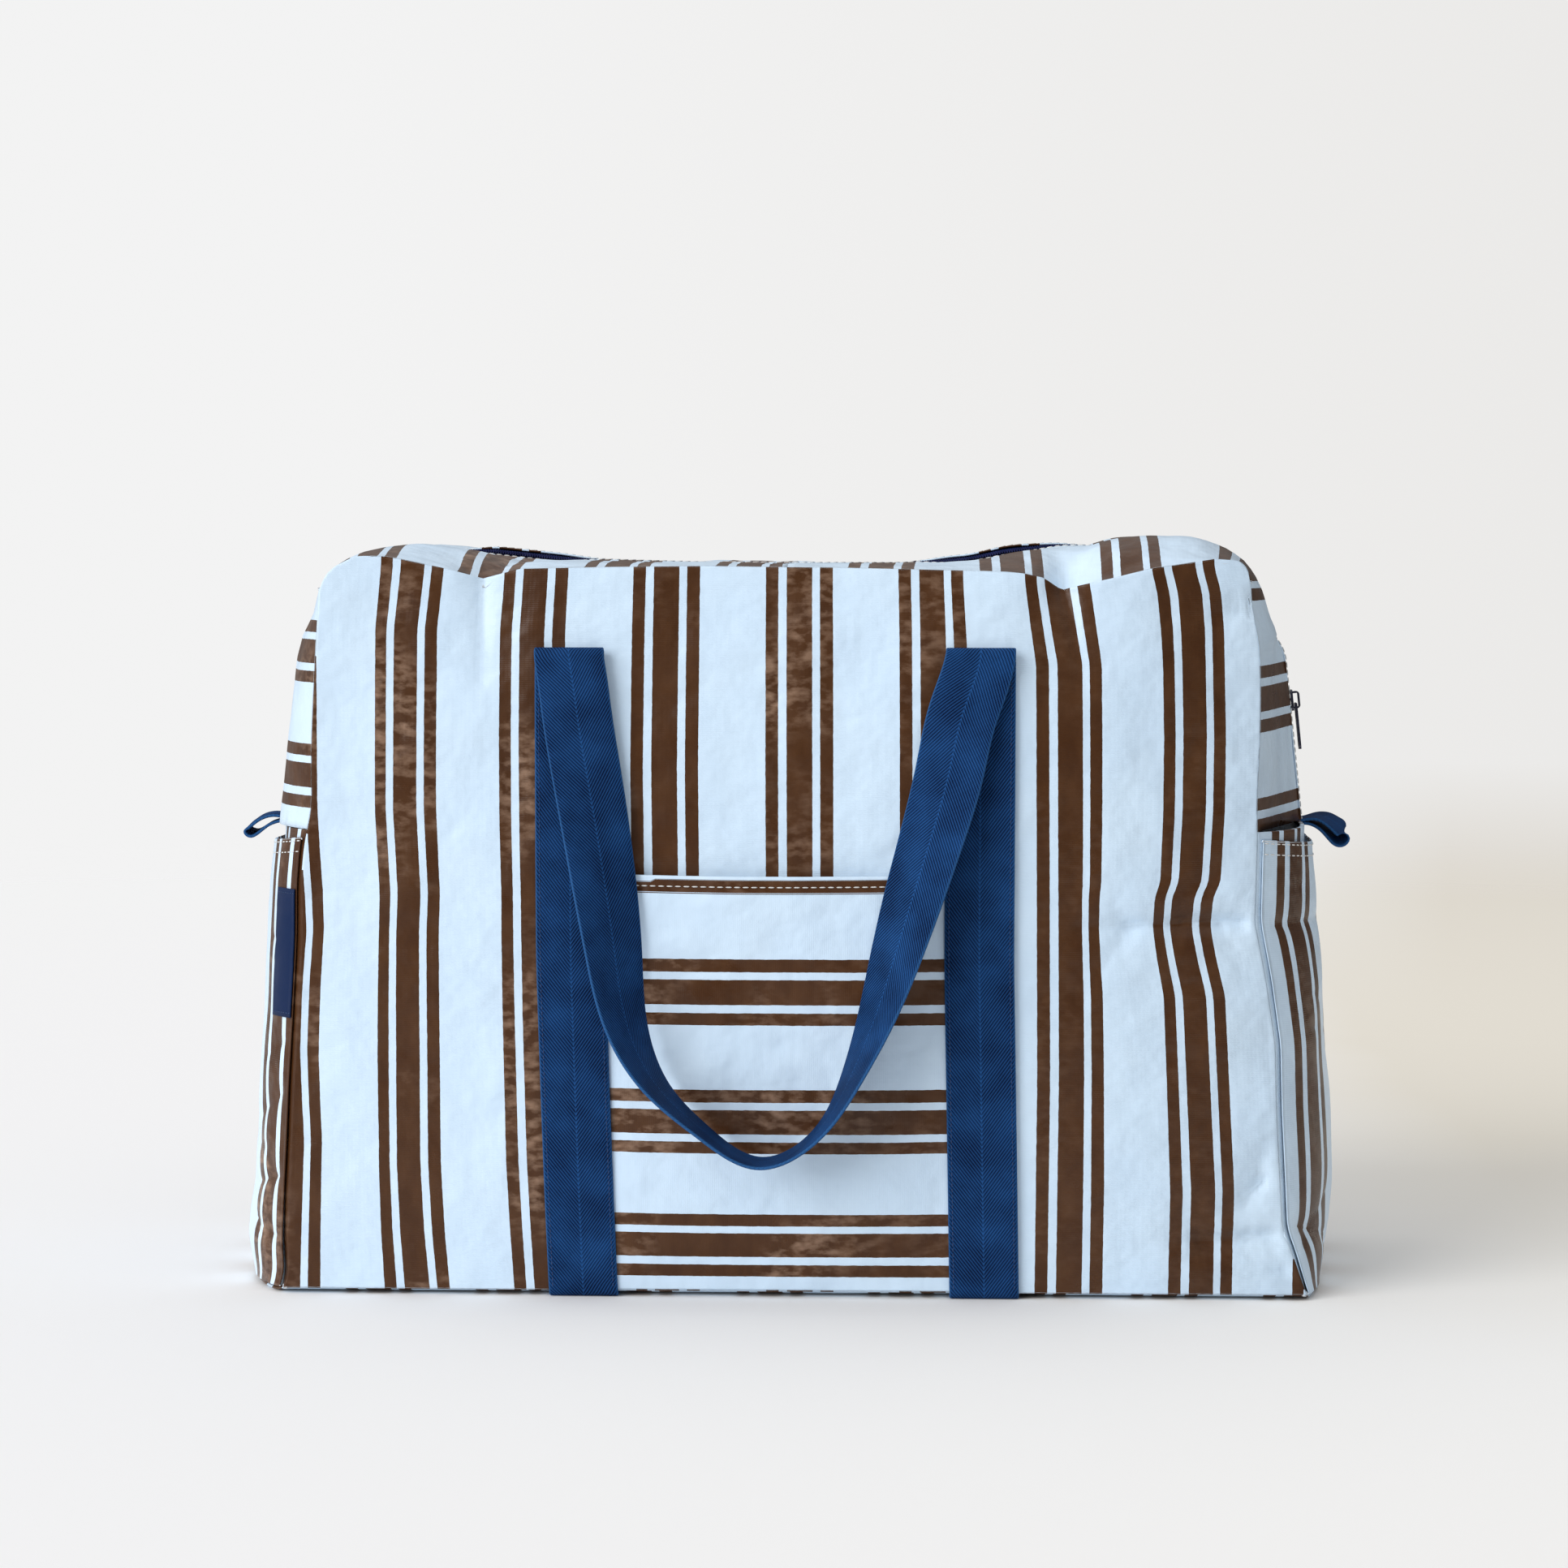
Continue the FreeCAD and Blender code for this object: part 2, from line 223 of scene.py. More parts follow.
def add(mat, kind, wires=None, **settings):
    node = mat.node_tree.nodes.new("ShaderNode" + kind)
    for key, value in settings.items():
        setattr(node, key, value)
    for key, value in (wires or {}).items():
        if isinstance(value, bpy.types.NodeSocket):
            mat.node_tree.links.new(value, node.inputs[key])
        else:
            node.inputs[key].default_value = value
    return node


def calc(mat, operation, a, b=0.0, c=0.0):
    return add(mat, "Math", {0: a, 1: b, 2: c}, operation=operation).outputs[0]


def mixColour(mat, factor, a, b):
    return add(mat, "Mix", {0: factor, 6: a, 7: b}, data_type="RGBA").outputs[2]


def noise(mat, scale, detail=2.0, where=None, kind="FBM", stretch=None):
    where = where or add(mat, "TexCoord").outputs["Object"]
    if stretch:
        where = add(mat, "Mapping", {0: where, 3: stretch}).outputs[0]
    wires = {"Vector": where, "Scale": scale, "Detail": detail}
    return add(mat, "TexNoise", wires, noise_type=kind).outputs[0]


def spread(mat, value, low, high, fromLow=0.3, fromHigh=0.7, **settings):
    wires = {0: value, 1: fromLow, 2: fromHigh, 3: low, 4: high}
    return add(mat, "MapRange", wires, **settings).outputs[0]


def onCloth(mat):  # places on the flat cloth in metres, across and along
    place = add(mat, "SeparateXYZ", {0: add(mat, "UVMap", uv_map="Cut").outputs[0]})
    return place.outputs[0], place.outputs[1]


def sine(mat, value, pitch, phase=0.0):  # waves of that pitch in metres
    return calc(mat, "SINE", calc(mat, "MULTIPLY_ADD", value, 2 * math.pi / pitch, phase))


def finishWith(mat, shader, colour=None, rough=None, bumps=()):
    links = mat.node_tree.links
    if colour:
        links.new(colour, shader.inputs["Base Color"])
    if rough:
        links.new(rough, shader.inputs["Roughness"])
    normal = None
    for height, strength, distance in bumps:
        wires = {"Strength": strength, "Distance": distance, "Height": height}
        if normal:
            wires["Normal"] = normal
        normal = add(mat, "Bump", wires).outputs[0]
    if normal:
        links.new(normal, shader.inputs["Normal"])
    return mat


clothLook = {
    "light": (0.665, 0.825, 0.985, 1), "lightShade": (0.635, 0.80, 0.975, 1),
    "brown": (0.060, 0.0215, 0.0062, 1), "brownShade": (0.085, 0.034, 0.0115, 1),
    # painted highlight on the brown stripes: its pale colour, and how strongly it is laid on
    "highlightTint": (0.34, 0.215, 0.145, 1), "paintedHighlight": 0.70,
    # a wide stripe, a gap and a narrow stripe each side of a triple's middle, in metres
    "repeat": 0.072, "wideHalf": 0.00685, "gapEnd": 0.01125, "narrowEnd": 0.01815, "wobble": 0.0004,
    "ribPitch": 0.00115, "tapePitch": 0.0024, "weaveDepth": 0.00009,
    "softDepth": 0.0050, "foldDepth": 0.0014,
    "turnFrom": 0.03, "turn": 2.2,  # where the stuffing starts to round the right side off, and how much
}


def makeStripedCloth():
    look = clothLook
    mat, shader = newMaterial("striped laminated cloth", {
        "Specular IOR Level": 0.24, "Coat Weight": 0.06, "Coat Roughness": 0.15})
    across, along = onCloth(mat)
    side = add(mat, "SeparateXYZ", {0: add(mat, "TexCoord").outputs["Object"]}).outputs[0]
    past = calc(mat, "POWER", calc(mat, "MAXIMUM", calc(mat, "SUBTRACT", side, look["turnFrom"]), 0.0), 3.0)
    turned = calc(mat, "MULTIPLY", past, -look["turn"])
    wobble = calc(mat, "MULTIPLY_ADD", noise(mat, 260, 1.0), look["wobble"], -look["wobble"] / 2)
    repeats = calc(mat, "MULTIPLY_ADD", calc(mat, "ADD", across, wobble), 1 / look["repeat"], 0.5)
    ramp = add(mat, "ValToRGB", {0: calc(mat, "FRACT", repeats)})
    ramp.color_ramp.interpolation = "CONSTANT"
    edges = [0.0]
    edges += [0.5 - look[k] / look["repeat"] for k in ("narrowEnd", "gapEnd", "wideHalf")]
    edges += [0.5 + look[k] / look["repeat"] for k in ("wideHalf", "gapEnd", "narrowEnd")]
    while len(ramp.color_ramp.elements) < len(edges):
        ramp.color_ramp.elements.new(1.0)
    for i, (stop, place) in enumerate(zip(ramp.color_ramp.elements, edges)):
        stop.position = place
        stop.color = (i % 2, i % 2, i % 2, 1)
    printed = ramp.outputs[0]
    patches = noise(mat, 22, 3.0)
    light = mixColour(mat, spread(mat, patches, 0, 1), look["lightShade"], look["light"])
    worn = noise(mat, 90, 4.0, stretch=(1, 1, 0.5))
    brown = mixColour(mat, spread(mat, worn, 0, 1, 0.35, 0.75), look["brown"], look["brownShade"])
    # painted highlight: pale crinkled patches laid on the brown, mostly on the left, where the key light
    # falls
    crinkled = noise(mat, 105, 4.0, stretch=(1, 1, 2.0))
    onTheLeft = spread(mat, side, 1, 0.1, 0, 0.15)
    highlightPatches = calc(mat, "MULTIPLY", spread(mat, noise(mat, 13, 2.0), 0, 1, 0.42, 0.58), onTheLeft)
    paintedHighlight = calc(mat, "MULTIPLY", spread(mat, crinkled, 0, look["paintedHighlight"], 0.44, 0.70), highlightPatches)
    colour = mixColour(mat, printed, light, mixColour(mat, paintedHighlight, brown, look["highlightTint"]))
    ribs = sine(mat, along, look["ribPitch"])
    tapes = sine(mat, across, look["tapePitch"])
    weave = calc(mat, "ADD", calc(mat, "MULTIPLY", ribs, 0.7), calc(mat, "MULTIPLY", tapes, 0.3))
    weave = calc(mat, "MULTIPLY", weave, spread(mat, noise(mat, 55, 2.0), 0.25, 1.0))
    folds = noise(mat, 34, 2.5, kind="RIDGED_MULTIFRACTAL")
    soft = noise(mat, 28, 3.0)
    rough = calc(mat, "MULTIPLY_ADD", printed, -0.05, spread(mat, noise(mat, 40, 4.0), 0.30, 0.46))
    return finishWith(mat, shader, colour, rough, (
        (turned, 1.0, 1.0), (soft, 0.8, look["softDepth"]), (folds, 0.30, look["foldDepth"]),
        (weave, 0.35, look["weaveDepth"])))


def makeReverseCloth():
    mat, shader = newMaterial("reverse of the laminated cloth", {"Specular IOR Level": 0.3})
    across, along = onCloth(mat)
    tapes = 0.0048
    weave = calc(mat, "MULTIPLY", sine(mat, across, tapes), sine(mat, along, tapes))
    tone = mixColour(mat, spread(mat, weave, 0, 1, -1, 1), (0.60, 0.66, 0.72, 1), (0.72, 0.77, 0.82, 1))
    rough = spread(mat, noise(mat, 30, 3.0), 0.55, 0.7)
    return finishWith(mat, shader, tone, rough, ((weave, 0.4, 0.0002),))


webbingLook = {
    # the edge colour is a painted highlight along the webbing's edges
    "dark": (0.0003, 0.0030, 0.020, 1), "light": (0.0170, 0.088, 0.280, 1), "edge": (0.030, 0.115, 0.30, 1),
    "twillPitch": 0.0024, "slope": 1.35, "pickPitch": 0.0009, "endPitch": 0.0011, "relief": 0.00025,
}


def makeWebbing(name, width):
    look = webbingLook
    mat, shader = newMaterial(name, {"Specular IOR Level": 0.06})
    across, along = onCloth(mat)
    offMiddle = calc(mat, "ABSOLUTE", calc(mat, "SUBTRACT", across, width / 2))
    slant = calc(mat, "MULTIPLY_ADD", offMiddle, look["slope"], along)  # the twill turns back at the middle
    twill = sine(mat, slant, look["twillPitch"])
    yarn = calc(mat, "MULTIPLY", sine(mat, along, look["pickPitch"]), sine(mat, offMiddle, look["endPitch"]))
    height = calc(mat, "ADD", calc(mat, "MULTIPLY", twill, 0.6), calc(mat, "MULTIPLY", yarn, 0.4))
    blotch = spread(mat, noise(mat, 45, 4.0), -0.18, 0.18)
    middleLine = spread(mat, offMiddle, 0.35, 0.0, 0.0, 0.0007)
    tone = spread(mat, height, 0.0, 0.88, -0.75, 0.75)
    tone = calc(mat, "ADD", tone, calc(mat, "ADD", blotch, middleLine))
    colour = mixColour(mat, tone, look["dark"], look["light"])
    # painted highlight: a paler line along each edge of the webbing
    atEdge = spread(mat, offMiddle, 0.0, 0.8, width / 2 - 0.0011, width / 2 - 0.0001)
    colour = mixColour(mat, atEdge, colour, look["edge"])
    rough = spread(mat, height, 0.78, 0.6, -1, 1)
    return finishWith(mat, shader, colour, rough, ((height, 0.7, look["relief"]),))


def makeThread(name, colour, shade):
    mat, shader = newMaterial(name, {"Roughness": 0.62, "Sheen Weight": 0.1})
    tone = mixColour(mat, spread(mat, noise(mat, 900, 2.0), 0, 1), colour, shade)
    return finishWith(mat, shader, tone, None, ((noise(mat, 2500, 1.0), 0.3, 0.0001),))


def makeZipTape():
    mat, shader = newMaterial("navy zip tape", {"Specular IOR Level": 0.08})
    across, along = onCloth(mat)
    twill = sine(mat, calc(mat, "ADD", across, along), 0.0010)
    dark, light = (0.0020, 0.0070, 0.040, 1), (0.0060, 0.018, 0.085, 1)
    tone = mixColour(mat, spread(mat, twill, 0, 1, -1, 1), dark, light)
    rough = spread(mat, noise(mat, 80), 0.7, 0.85)
    return finishWith(mat, shader, tone, rough, ((twill, 0.5, 0.0001),))


def makeCoilNylon():
    mat, shader = newMaterial("navy coil nylon", {"Specular IOR Level": 0.5})
    worn = noise(mat, 160, 3.0)
    tone = mixColour(mat, spread(mat, worn, 0, 1), (0.003, 0.006, 0.055, 1), (0.012, 0.020, 0.12, 1))
    rough = spread(mat, worn, 0.28, 0.42)
    return finishWith(mat, shader, tone, rough, ((noise(mat, 700, 2.0), 0.1, 0.0001),))


def makeEnamel():
    mat, shader = newMaterial("navy enamelled metal", {
        "Metallic": 0.25, "Coat Weight": 0.8, "Coat Roughness": 0.12, "Specular IOR Level": 0.6})
    pits = noise(mat, 420, 3.0)
    dark, light = (0.004, 0.005, 0.030, 1), (0.016, 0.018, 0.060, 1)
    tone = mixColour(mat, spread(mat, pits, 0, 1, 0.45, 0.75), dark, light)
    rough = spread(mat, noise(mat, 150, 4.0), 0.2, 0.42)
    return finishWith(mat, shader, tone, rough, ((pits, 0.12, 0.00015),))


def makeLabelSatin():
    mat, shader = newMaterial("navy label satin", {"Specular IOR Level": 0.12})
    across, along = onCloth(mat)
    rib = calc(mat, "MULTIPLY", sine(mat, along, 0.0006), sine(mat, across, 0.0010))
    dark, light = (0.0012, 0.0110, 0.052, 1), (0.0035, 0.0210, 0.085, 1)
    tone = mixColour(mat, spread(mat, rib, 0, 1, -1, 1), dark, light)
    rough = spread(mat, noise(mat, 60, 2.0), 0.38, 0.52)
    return finishWith(mat, shader, tone, rough, ((rib, 0.35, 0.0001),))


stripedCloth, reverseCloth = makeStripedCloth(), makeReverseCloth()
webbing38 = makeWebbing("navy herringbone webbing", 0.038)
webbing25 = makeWebbing("navy loop webbing", 0.025)
zipTape, coilNylon, enamel, labelSatin = makeZipTape(), makeCoilNylon(), makeEnamel(), makeLabelSatin()
whiteThread = makeThread("off-white thread", (0.78, 0.78, 0.76, 1), (0.62, 0.63, 0.63, 1))
navyThread = makeThread("navy thread", (0.012, 0.05, 0.17, 1), (0.006, 0.03, 0.11, 1))
clothPair = (stripedCloth, reverseCloth)
print("materials made")


def alongTree(name, rounded):  # round pieces are stitches, straight ones are coil teeth
    tree = bpy.data.node_groups.new(name, "GeometryNodeTree")
    tree.interface.new_socket("Line", in_out="INPUT", socket_type="NodeSocketGeometry")
    wanted = (("Pitch", "Float"), ("Length", "Float"), ("Breadth", "Float"), ("Height", "Float"),
              ("Side", "Vector"), ("Material", "Material"))
    for label, kind in wanted:
        tree.interface.new_socket(label, in_out="INPUT", socket_type="NodeSocket" + kind)
    tree.interface.new_socket("Pieces", in_out="OUTPUT", socket_type="NodeSocketGeometry")

    def node(kind, **settings):
        n = tree.nodes.new(kind)
        for key, value in settings.items():
            setattr(n, key, value)
        return n
    link = tree.links.new
    start, end = node("NodeGroupInput"), node("NodeGroupOutput")
    curve = node("GeometryNodeMeshToCurve")
    points = node("GeometryNodeCurveToPoints", mode="LENGTH")
    turn = node("FunctionNodeAxesToRotation", primary_axis="X", secondary_axis="Y")
    size = node("ShaderNodeCombineXYZ")
    if rounded:
        shape = node("GeometryNodeMeshUVSphere")
        shape.inputs["Segments"].default_value, shape.inputs["Rings"].default_value = 6, 4
        shape.inputs["Radius"].default_value = 0.5
    else:
        shape = node("GeometryNodeMeshCube")
        shape.inputs["Size"].default_value = (1, 1, 1)
        for axis in "XYZ":
            shape.inputs["Vertices " + axis].default_value = 2
    place = node("GeometryNodeInstanceOnPoints")
    real, paint = node("GeometryNodeRealizeInstances"), node("GeometryNodeSetMaterial")
    link(start.outputs["Line"], curve.inputs[0])
    link(curve.outputs[0], points.inputs["Curve"])
    link(start.outputs["Pitch"], points.inputs["Length"])
    link(points.outputs["Tangent"], turn.inputs["Primary Axis"])
    link(start.outputs["Side"], turn.inputs["Secondary Axis"])
    for i, label in enumerate(("Length", "Breadth", "Height")):
        link(start.outputs[label], size.inputs[i])
    link(points.outputs["Points"], place.inputs["Points"])
    link(shape.outputs["Mesh"], place.inputs["Instance"])
    link(turn.outputs[0], place.inputs["Rotation"])
    link(size.outputs[0], place.inputs["Scale"])
    link(place.outputs[0], real.inputs[0])
    link(real.outputs[0], paint.inputs[0])
    link(start.outputs["Material"], paint.inputs["Material"])
    link(paint.outputs[0], end.inputs[0])
    return tree


stitchTree, toothTree = alongTree("Stitches along a seam", True), alongTree("Coil teeth along a zip", False)


def rowOf(name, tree, chains, sizes):  # chains of points in mm; sizes is what the tree's inputs are set to
    points, edges = [], []
    for chain in chains:
        first = len(points)
        points += (np.asarray(chain) * mm).tolist()
        edges += [(i, i + 1) for i in range(first, len(points) - 1)]
    mesh = bpy.data.meshes.new(name + "Line")
    mesh.from_pydata(points, edges, [])
    host = bpy.data.objects.new(name + "Line", mesh)
    bpy.context.scene.collection.objects.link(host)
    modifier = host.modifiers.new("Repeat", "NODES")
    modifier.node_group = tree
    for item in tree.interface.items_tree:
        if item.in_out == "INPUT" and item.name in sizes:
            modifier[item.identifier] = sizes[item.name]
    host.update_tag()
    whole = bpy.data.meshes.new_from_object(host.evaluated_get(bpy.context.evaluated_depsgraph_get()))
    piece = bpy.data.objects.new(name, whole)
    bpy.data.objects.remove(host)
    bpy.context.scene.collection.objects.link(piece)
    whole.polygons.foreach_set("use_smooth", [tree == stitchTree] * len(whole.polygons))
    return piece


bag = {
    "height": 400.0, "depthBase": 120.0, "depthTop": 112.0,  # half depths, from the middle to the seams
    "halfWidth": 257, "footSpread": 20, "spreadBelow": 260,  # the front widens towards the floor
    "crown": 9.6,  # how far the front swells in its middle
    "cloth": 0.6, "seamLow": 3.0, "seamGap": 0.9,
}
leftSeam = lineThrough([
    (-1, -278.5), (10.6, -273.6), (29, -274.5), (54, -273.6), (79, -272.3), (116, -270.7), (152.5, -268.4),
    (198, -266), (226.7, -266), (245.8, -264.3), (269, -260), (304, -260), (328, -259), (363, -257),
    (385, -255.5), (420, -255.5)], 5)
rightSeam = lineThrough([
    (-1, 288), (4.9, 285), (28.3, 277), (39.3, 272.3), (104.3, 268.7), (140, 267.9), (176.4, 262.5),
    (206.9, 256.4), (252, 257.7), (272, 257.2), (307.6, 258.8), (328.8, 259), (344.3, 258.8), (357, 258.1),
    (378, 254.6), (385, 253.5), (420, 253.5)], 5)
topSeam = lineThrough([
    (-255.5, 385), (-254, 391), (-251, 396.5), (-246.6, 400.4), (-236, 405.8), (-222.8, 406.6),
    (-209.7, 404.4), (-184.8, 399.1), (-171.9, 395.6), (-165.9, 393.7), (-155.1, 396.5), (-144.5, 399.1),
    (-99.9, 400), (-42.4, 400.7), (-8.8, 400.1), (26.5, 399.8), (75.6, 398.7), (121.1, 397.6), (130, 396.7),
    (141, 394.3), (151, 387.5), (156.5, 389.2), (179, 394.3), (198.9, 399.2), (234.1, 404.6), (246.6, 403.6),
    (249.5, 401.5), (252, 397.8), (253.5, 385)], 0.8)


def depthAt(z):  # half the depth at a height
    return bag["depthBase"] + (bag["depthTop"] - bag["depthBase"]) * z / bag["height"]


def frontReach(x, z):  # how far out the stuffed front stands
    halfWidth = bag["halfWidth"] + bag["footSpread"] * np.clip(1 - z / bag["spreadBelow"], 0, 1) ** 1.3
    middle = bag["height"] / 2
    swell = bulge(np.clip(x / halfWidth, -1, 1)), bulge(np.clip((z - middle) / middle, -1, 1))
    return depthAt(z) + bag["crown"] * swell[0] * swell[1]


# printed stripes of the front: where each dark triple's middle runs, as (z, x)
stripeLines = {
    0: ((366, -273.6), (268, -273), (201.5, -268.7), (166, -271.7), (132.6, -273), (83, -270.7), (4.4, -274)),
    1: ((401, -203.5), (366, -207.7), (266.5, -208.2), (221.4, -205.8), (200, -206.9), (73, -206.8),
        (34, -205), (0, -201.8)),
    2: ((399, -136.2), (366, -138.3), (307, -138.5), (248, -137.9), (152.5, -136.2), (73, -134), (2, -130.4)),
    3: ((396, -64.5), (287.7, -65.5), (236, -64.8)),
    4: ((386, 8), (236, 8.6)),
    5: ((396, 80), (366, 80.8), (307, 81.3)),
    6: ((392, 147.6), (366, 151.9), (347, 155.5), (268, 156), (124, 157), (8, 155.8)),
    7: ((400, 216.5), (386, 220.4), (366, 222), (307, 223.2), (268, 222.8), (228.5, 220.6), (220.6, 216.6),
        (203, 215.6), (188, 218.3), (167, 223.4), (102.5, 226.7), (59.7, 229), (6, 228)),
}
stripeRepeat, edgeRepeat = 72.0, 66  # printed, and as seen past the last triple on each side


def frontStripes(x, z):  # place across the flat cloth, so that the print follows the lines above
    middles = [lineThrough(points, 3)(z) for points in stripeLines.values()]
    middles = [middles[0] - edgeRepeat] + middles + [middles[-1] + edgeRepeat]
    u = np.full(np.shape(x), -stripeRepeat) + (x - middles[0]) * stripeRepeat / edgeRepeat
    for k in range(len(middles) - 1):
        a, b = middles[k], middles[k + 1]
        here = (x >= a) & ((x < b) | (k == len(middles) - 2))
        u = np.where(here, stripeRepeat * (k - 1 + (x - a) / (b - a)), u)
    return u


def nearEdges(n, close):  # steps from 0 to 1, closer together at both ends
    middle = np.linspace(close[-1] * 1.5, 1 - close[-1] * 1.5, n)
    return np.concatenate([[0], close, middle, 1 - np.array(close[::-1]), [1]])


panel = {
    "topLeft": -254.6, "topRight": 252.6, "columns": 150, "rows": 112,
    "closeColumns": [0.002, 0.0045, 0.008, 0.012, 0.017, 0.023, 0.030, 0.038, 0.048],
    "closeRows": [0.0025, 0.006, 0.011, 0.017, 0.024, 0.033, 0.044],
    "undulation": 1.5, "crinkles": 70, "crinkleDepth": 1.1,
    "underStrap": 0.25, "strapHalf": 17, "strapFade": 20,  # how much of that is left under a strap
    "frontFolds": [
        (-166, 396, -165, 338, 6.0, 6.5), (-166, 392, -120, 360, 2.2, 9), (-170, 380, -196, 330, 1.6, 8),
        (151, 390, 163, 338, 6.5, 6.5), (151, 388, 205, 366, 2.6, 9), (151, 386, 118, 372, 1.6, 9),
        (259, 207, 162, 204, 8.5, 3.6), (215, 204, 236, 236, 3.2, 4.5), (190, 204, 168, 176, 2.6, 5),
        (236, 207, 252, 176, 3.0, 4.5), (186, 205, 176, 224, 2.0, 4), (256, 381, 232, 371, 4.5, 4.5),
        (276, 36, 212, 31, 7.5, 3.6), (262, 66, 236, 36, 5.0, 3.4), (277, 16, 236, 24, 5.0, 3.4),
        (250, 31, 240, 8, 3.5, 3.2), (230, 32, 214, 52, 3.0, 4), (270, 90, 250, 60, 3.0, 4),
        (-266, 221, -232, 224, 1.8, 4), (-268, 166, -238, 160, 1.6, 4), (-268, 130, -245, 138, 1.2, 4),
        (-9, 328, -5, 296, 1.6, 5), (-14, 300, 10, 286, 1.0, 6), (-270, 95, -240, 84, 1.2, 5),
    ],
    "backFolds": [
        (160, 396, 158, 340, 5.5, 6.5), (-148, 392, -158, 342, 5.5, 6.5), (-262, 200, -190, 204, 3.5, 6),
        (260, 150, 210, 158, 2.0, 6), (20, 320, 12, 285, 1.6, 6), (-266, 40, -236, 30, 2.5, 6),
    ],
}
strap = {  # comes first, because the panels lie flatter under the straps
    "width": 38.0, "thick": 1.8, "floorX": {"left": -110.0, "right": 109.6},
    "end": 349.0, "foldHeight": 353.0, "hingeY": 125.1,
    "liftLow": 1.65, "liftHigh": 1.2, "overPocket": 232,  # the pocket's sides lie underneath, up to there
    "sewnAt": 16.6, "bars": (335, 339), "barHalf": 16, "proud": 0.05,  # its stitches
}
strapMiddle = {"left": lineThrough([(2, -110), (60, -112), (185, -116), (353, -117)], 12),
               "right": lineThrough([(2, 109.6), (60, 108.6), (185, 106.4), (353, 107)], 12)}


def pulledIn(x, z, folds, edge):  # the folds reach the top seam in full, the side seams hardly at all
    share = np.where(z > 330, np.maximum(edge, ease((z - 340) / 40)), np.maximum(edge, 0.15))
    return creases(x, z, folds) * share


# adds the seam allowance round a sheet; ring has two steps, from the edge on, for each of the four sides
def seamRing(grid, cut, ring):
    grid, cut = (np.pad(rows, ((2, 2), (2, 2), (0, 0)), "edge") for rows in (grid, cut))
    for side, rows in (("low", (1, 0)), ("high", (-2, -1))):
        for r, step in zip(rows, ring[side]):
            grid[r] += step
    for side, columns in (("left", (1, 0)), ("right", (-2, -1))):
        for c, step in zip(columns, ring[side]):
            grid[:, c] += step
    cut[:2, :, 1] -= np.array([[3.0], [1.0]])
    cut[-2:, :, 1] += np.array([[1.0], [3.0]])
    return grid, cut


def bigPanel(name, back, folds, seed):
    s, b = np.meshgrid(nearEdges(panel["columns"], panel["closeColumns"]),
                       nearEdges(panel["rows"], panel["closeRows"]))
    gap = bag["seamGap"]
    topX = panel["topLeft"] + (panel["topRight"] - panel["topLeft"]) * s
    low = bag["seamLow"] + gap
    z = low + b * (topSeam(topX) - gap - low)
    left, right = leftSeam(z) + gap, rightSeam(z) - gap
    x = left + (right - left) * s
    loose = np.ones_like(x)  # the cloth lies flatter under the straps and beside the seams
    under = panel["underStrap"]
    for middle in strapMiddle.values():
        away = np.abs(x - middle(np.minimum(z, strap["foldHeight"])))
        loose = loose * (under + (1 - under) * ease((away - panel["strapHalf"]) / panel["strapFade"]))
    fromSide, fromEnd = np.minimum(s, 1 - s), np.minimum(b, 1 - b)
    loose = loose * ease(fromSide * 14 + 0.15) * ease(fromEnd * 14 + 0.1)
    soft = 0.5 + 0.5 * waves(x, z * 0.7, seed, 150, 38, 12)
    small = crinkles(seed + 1, panel["crinkles"], (-255, 255, 20, 390), panel["crinkleDepth"])
    inward = loose * (panel["undulation"] * np.clip(soft, 0, 1.2) + creases(x, z, small))
    inward = inward + pulledIn(x, z, folds, ease(fromSide * 50 + 0.1))
    y = -(frontReach(x, z) - inward)
    grid = np.stack([x, y, z], -1)
    cut = np.stack([frontStripes(x, z), z], -1)
    ring = {
        "left": ((-0.75, 0.25, 0), (0.23, 2.3, 0)), "right": ((0.75, 0.25, 0), (-0.23, 2.3, 0)),
        "low": ((0, 0.25, -0.75), (0, 1.75, 0.99)), "high": ((0, 0.25, 0.75), (0, 2.02, -0.74)),
    }
    grid, cut = seamRing(grid, cut, ring)
    if back:
        grid = grid * (1, -1, 1)
    return closedSheet(name, grid, cut, bag["cloth"], clothPair, flip=back)


frontPanel = bigPanel("frontPanel", False, panel["frontFolds"], 11)
backPanel = bigPanel("backPanel", True, panel["backFolds"], 23)
for piece, node in ((frontPanel, "front_panel"), (backPanel, "back_panel")):
    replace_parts(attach(piece, "bag"), node)
print("front and back panels made")


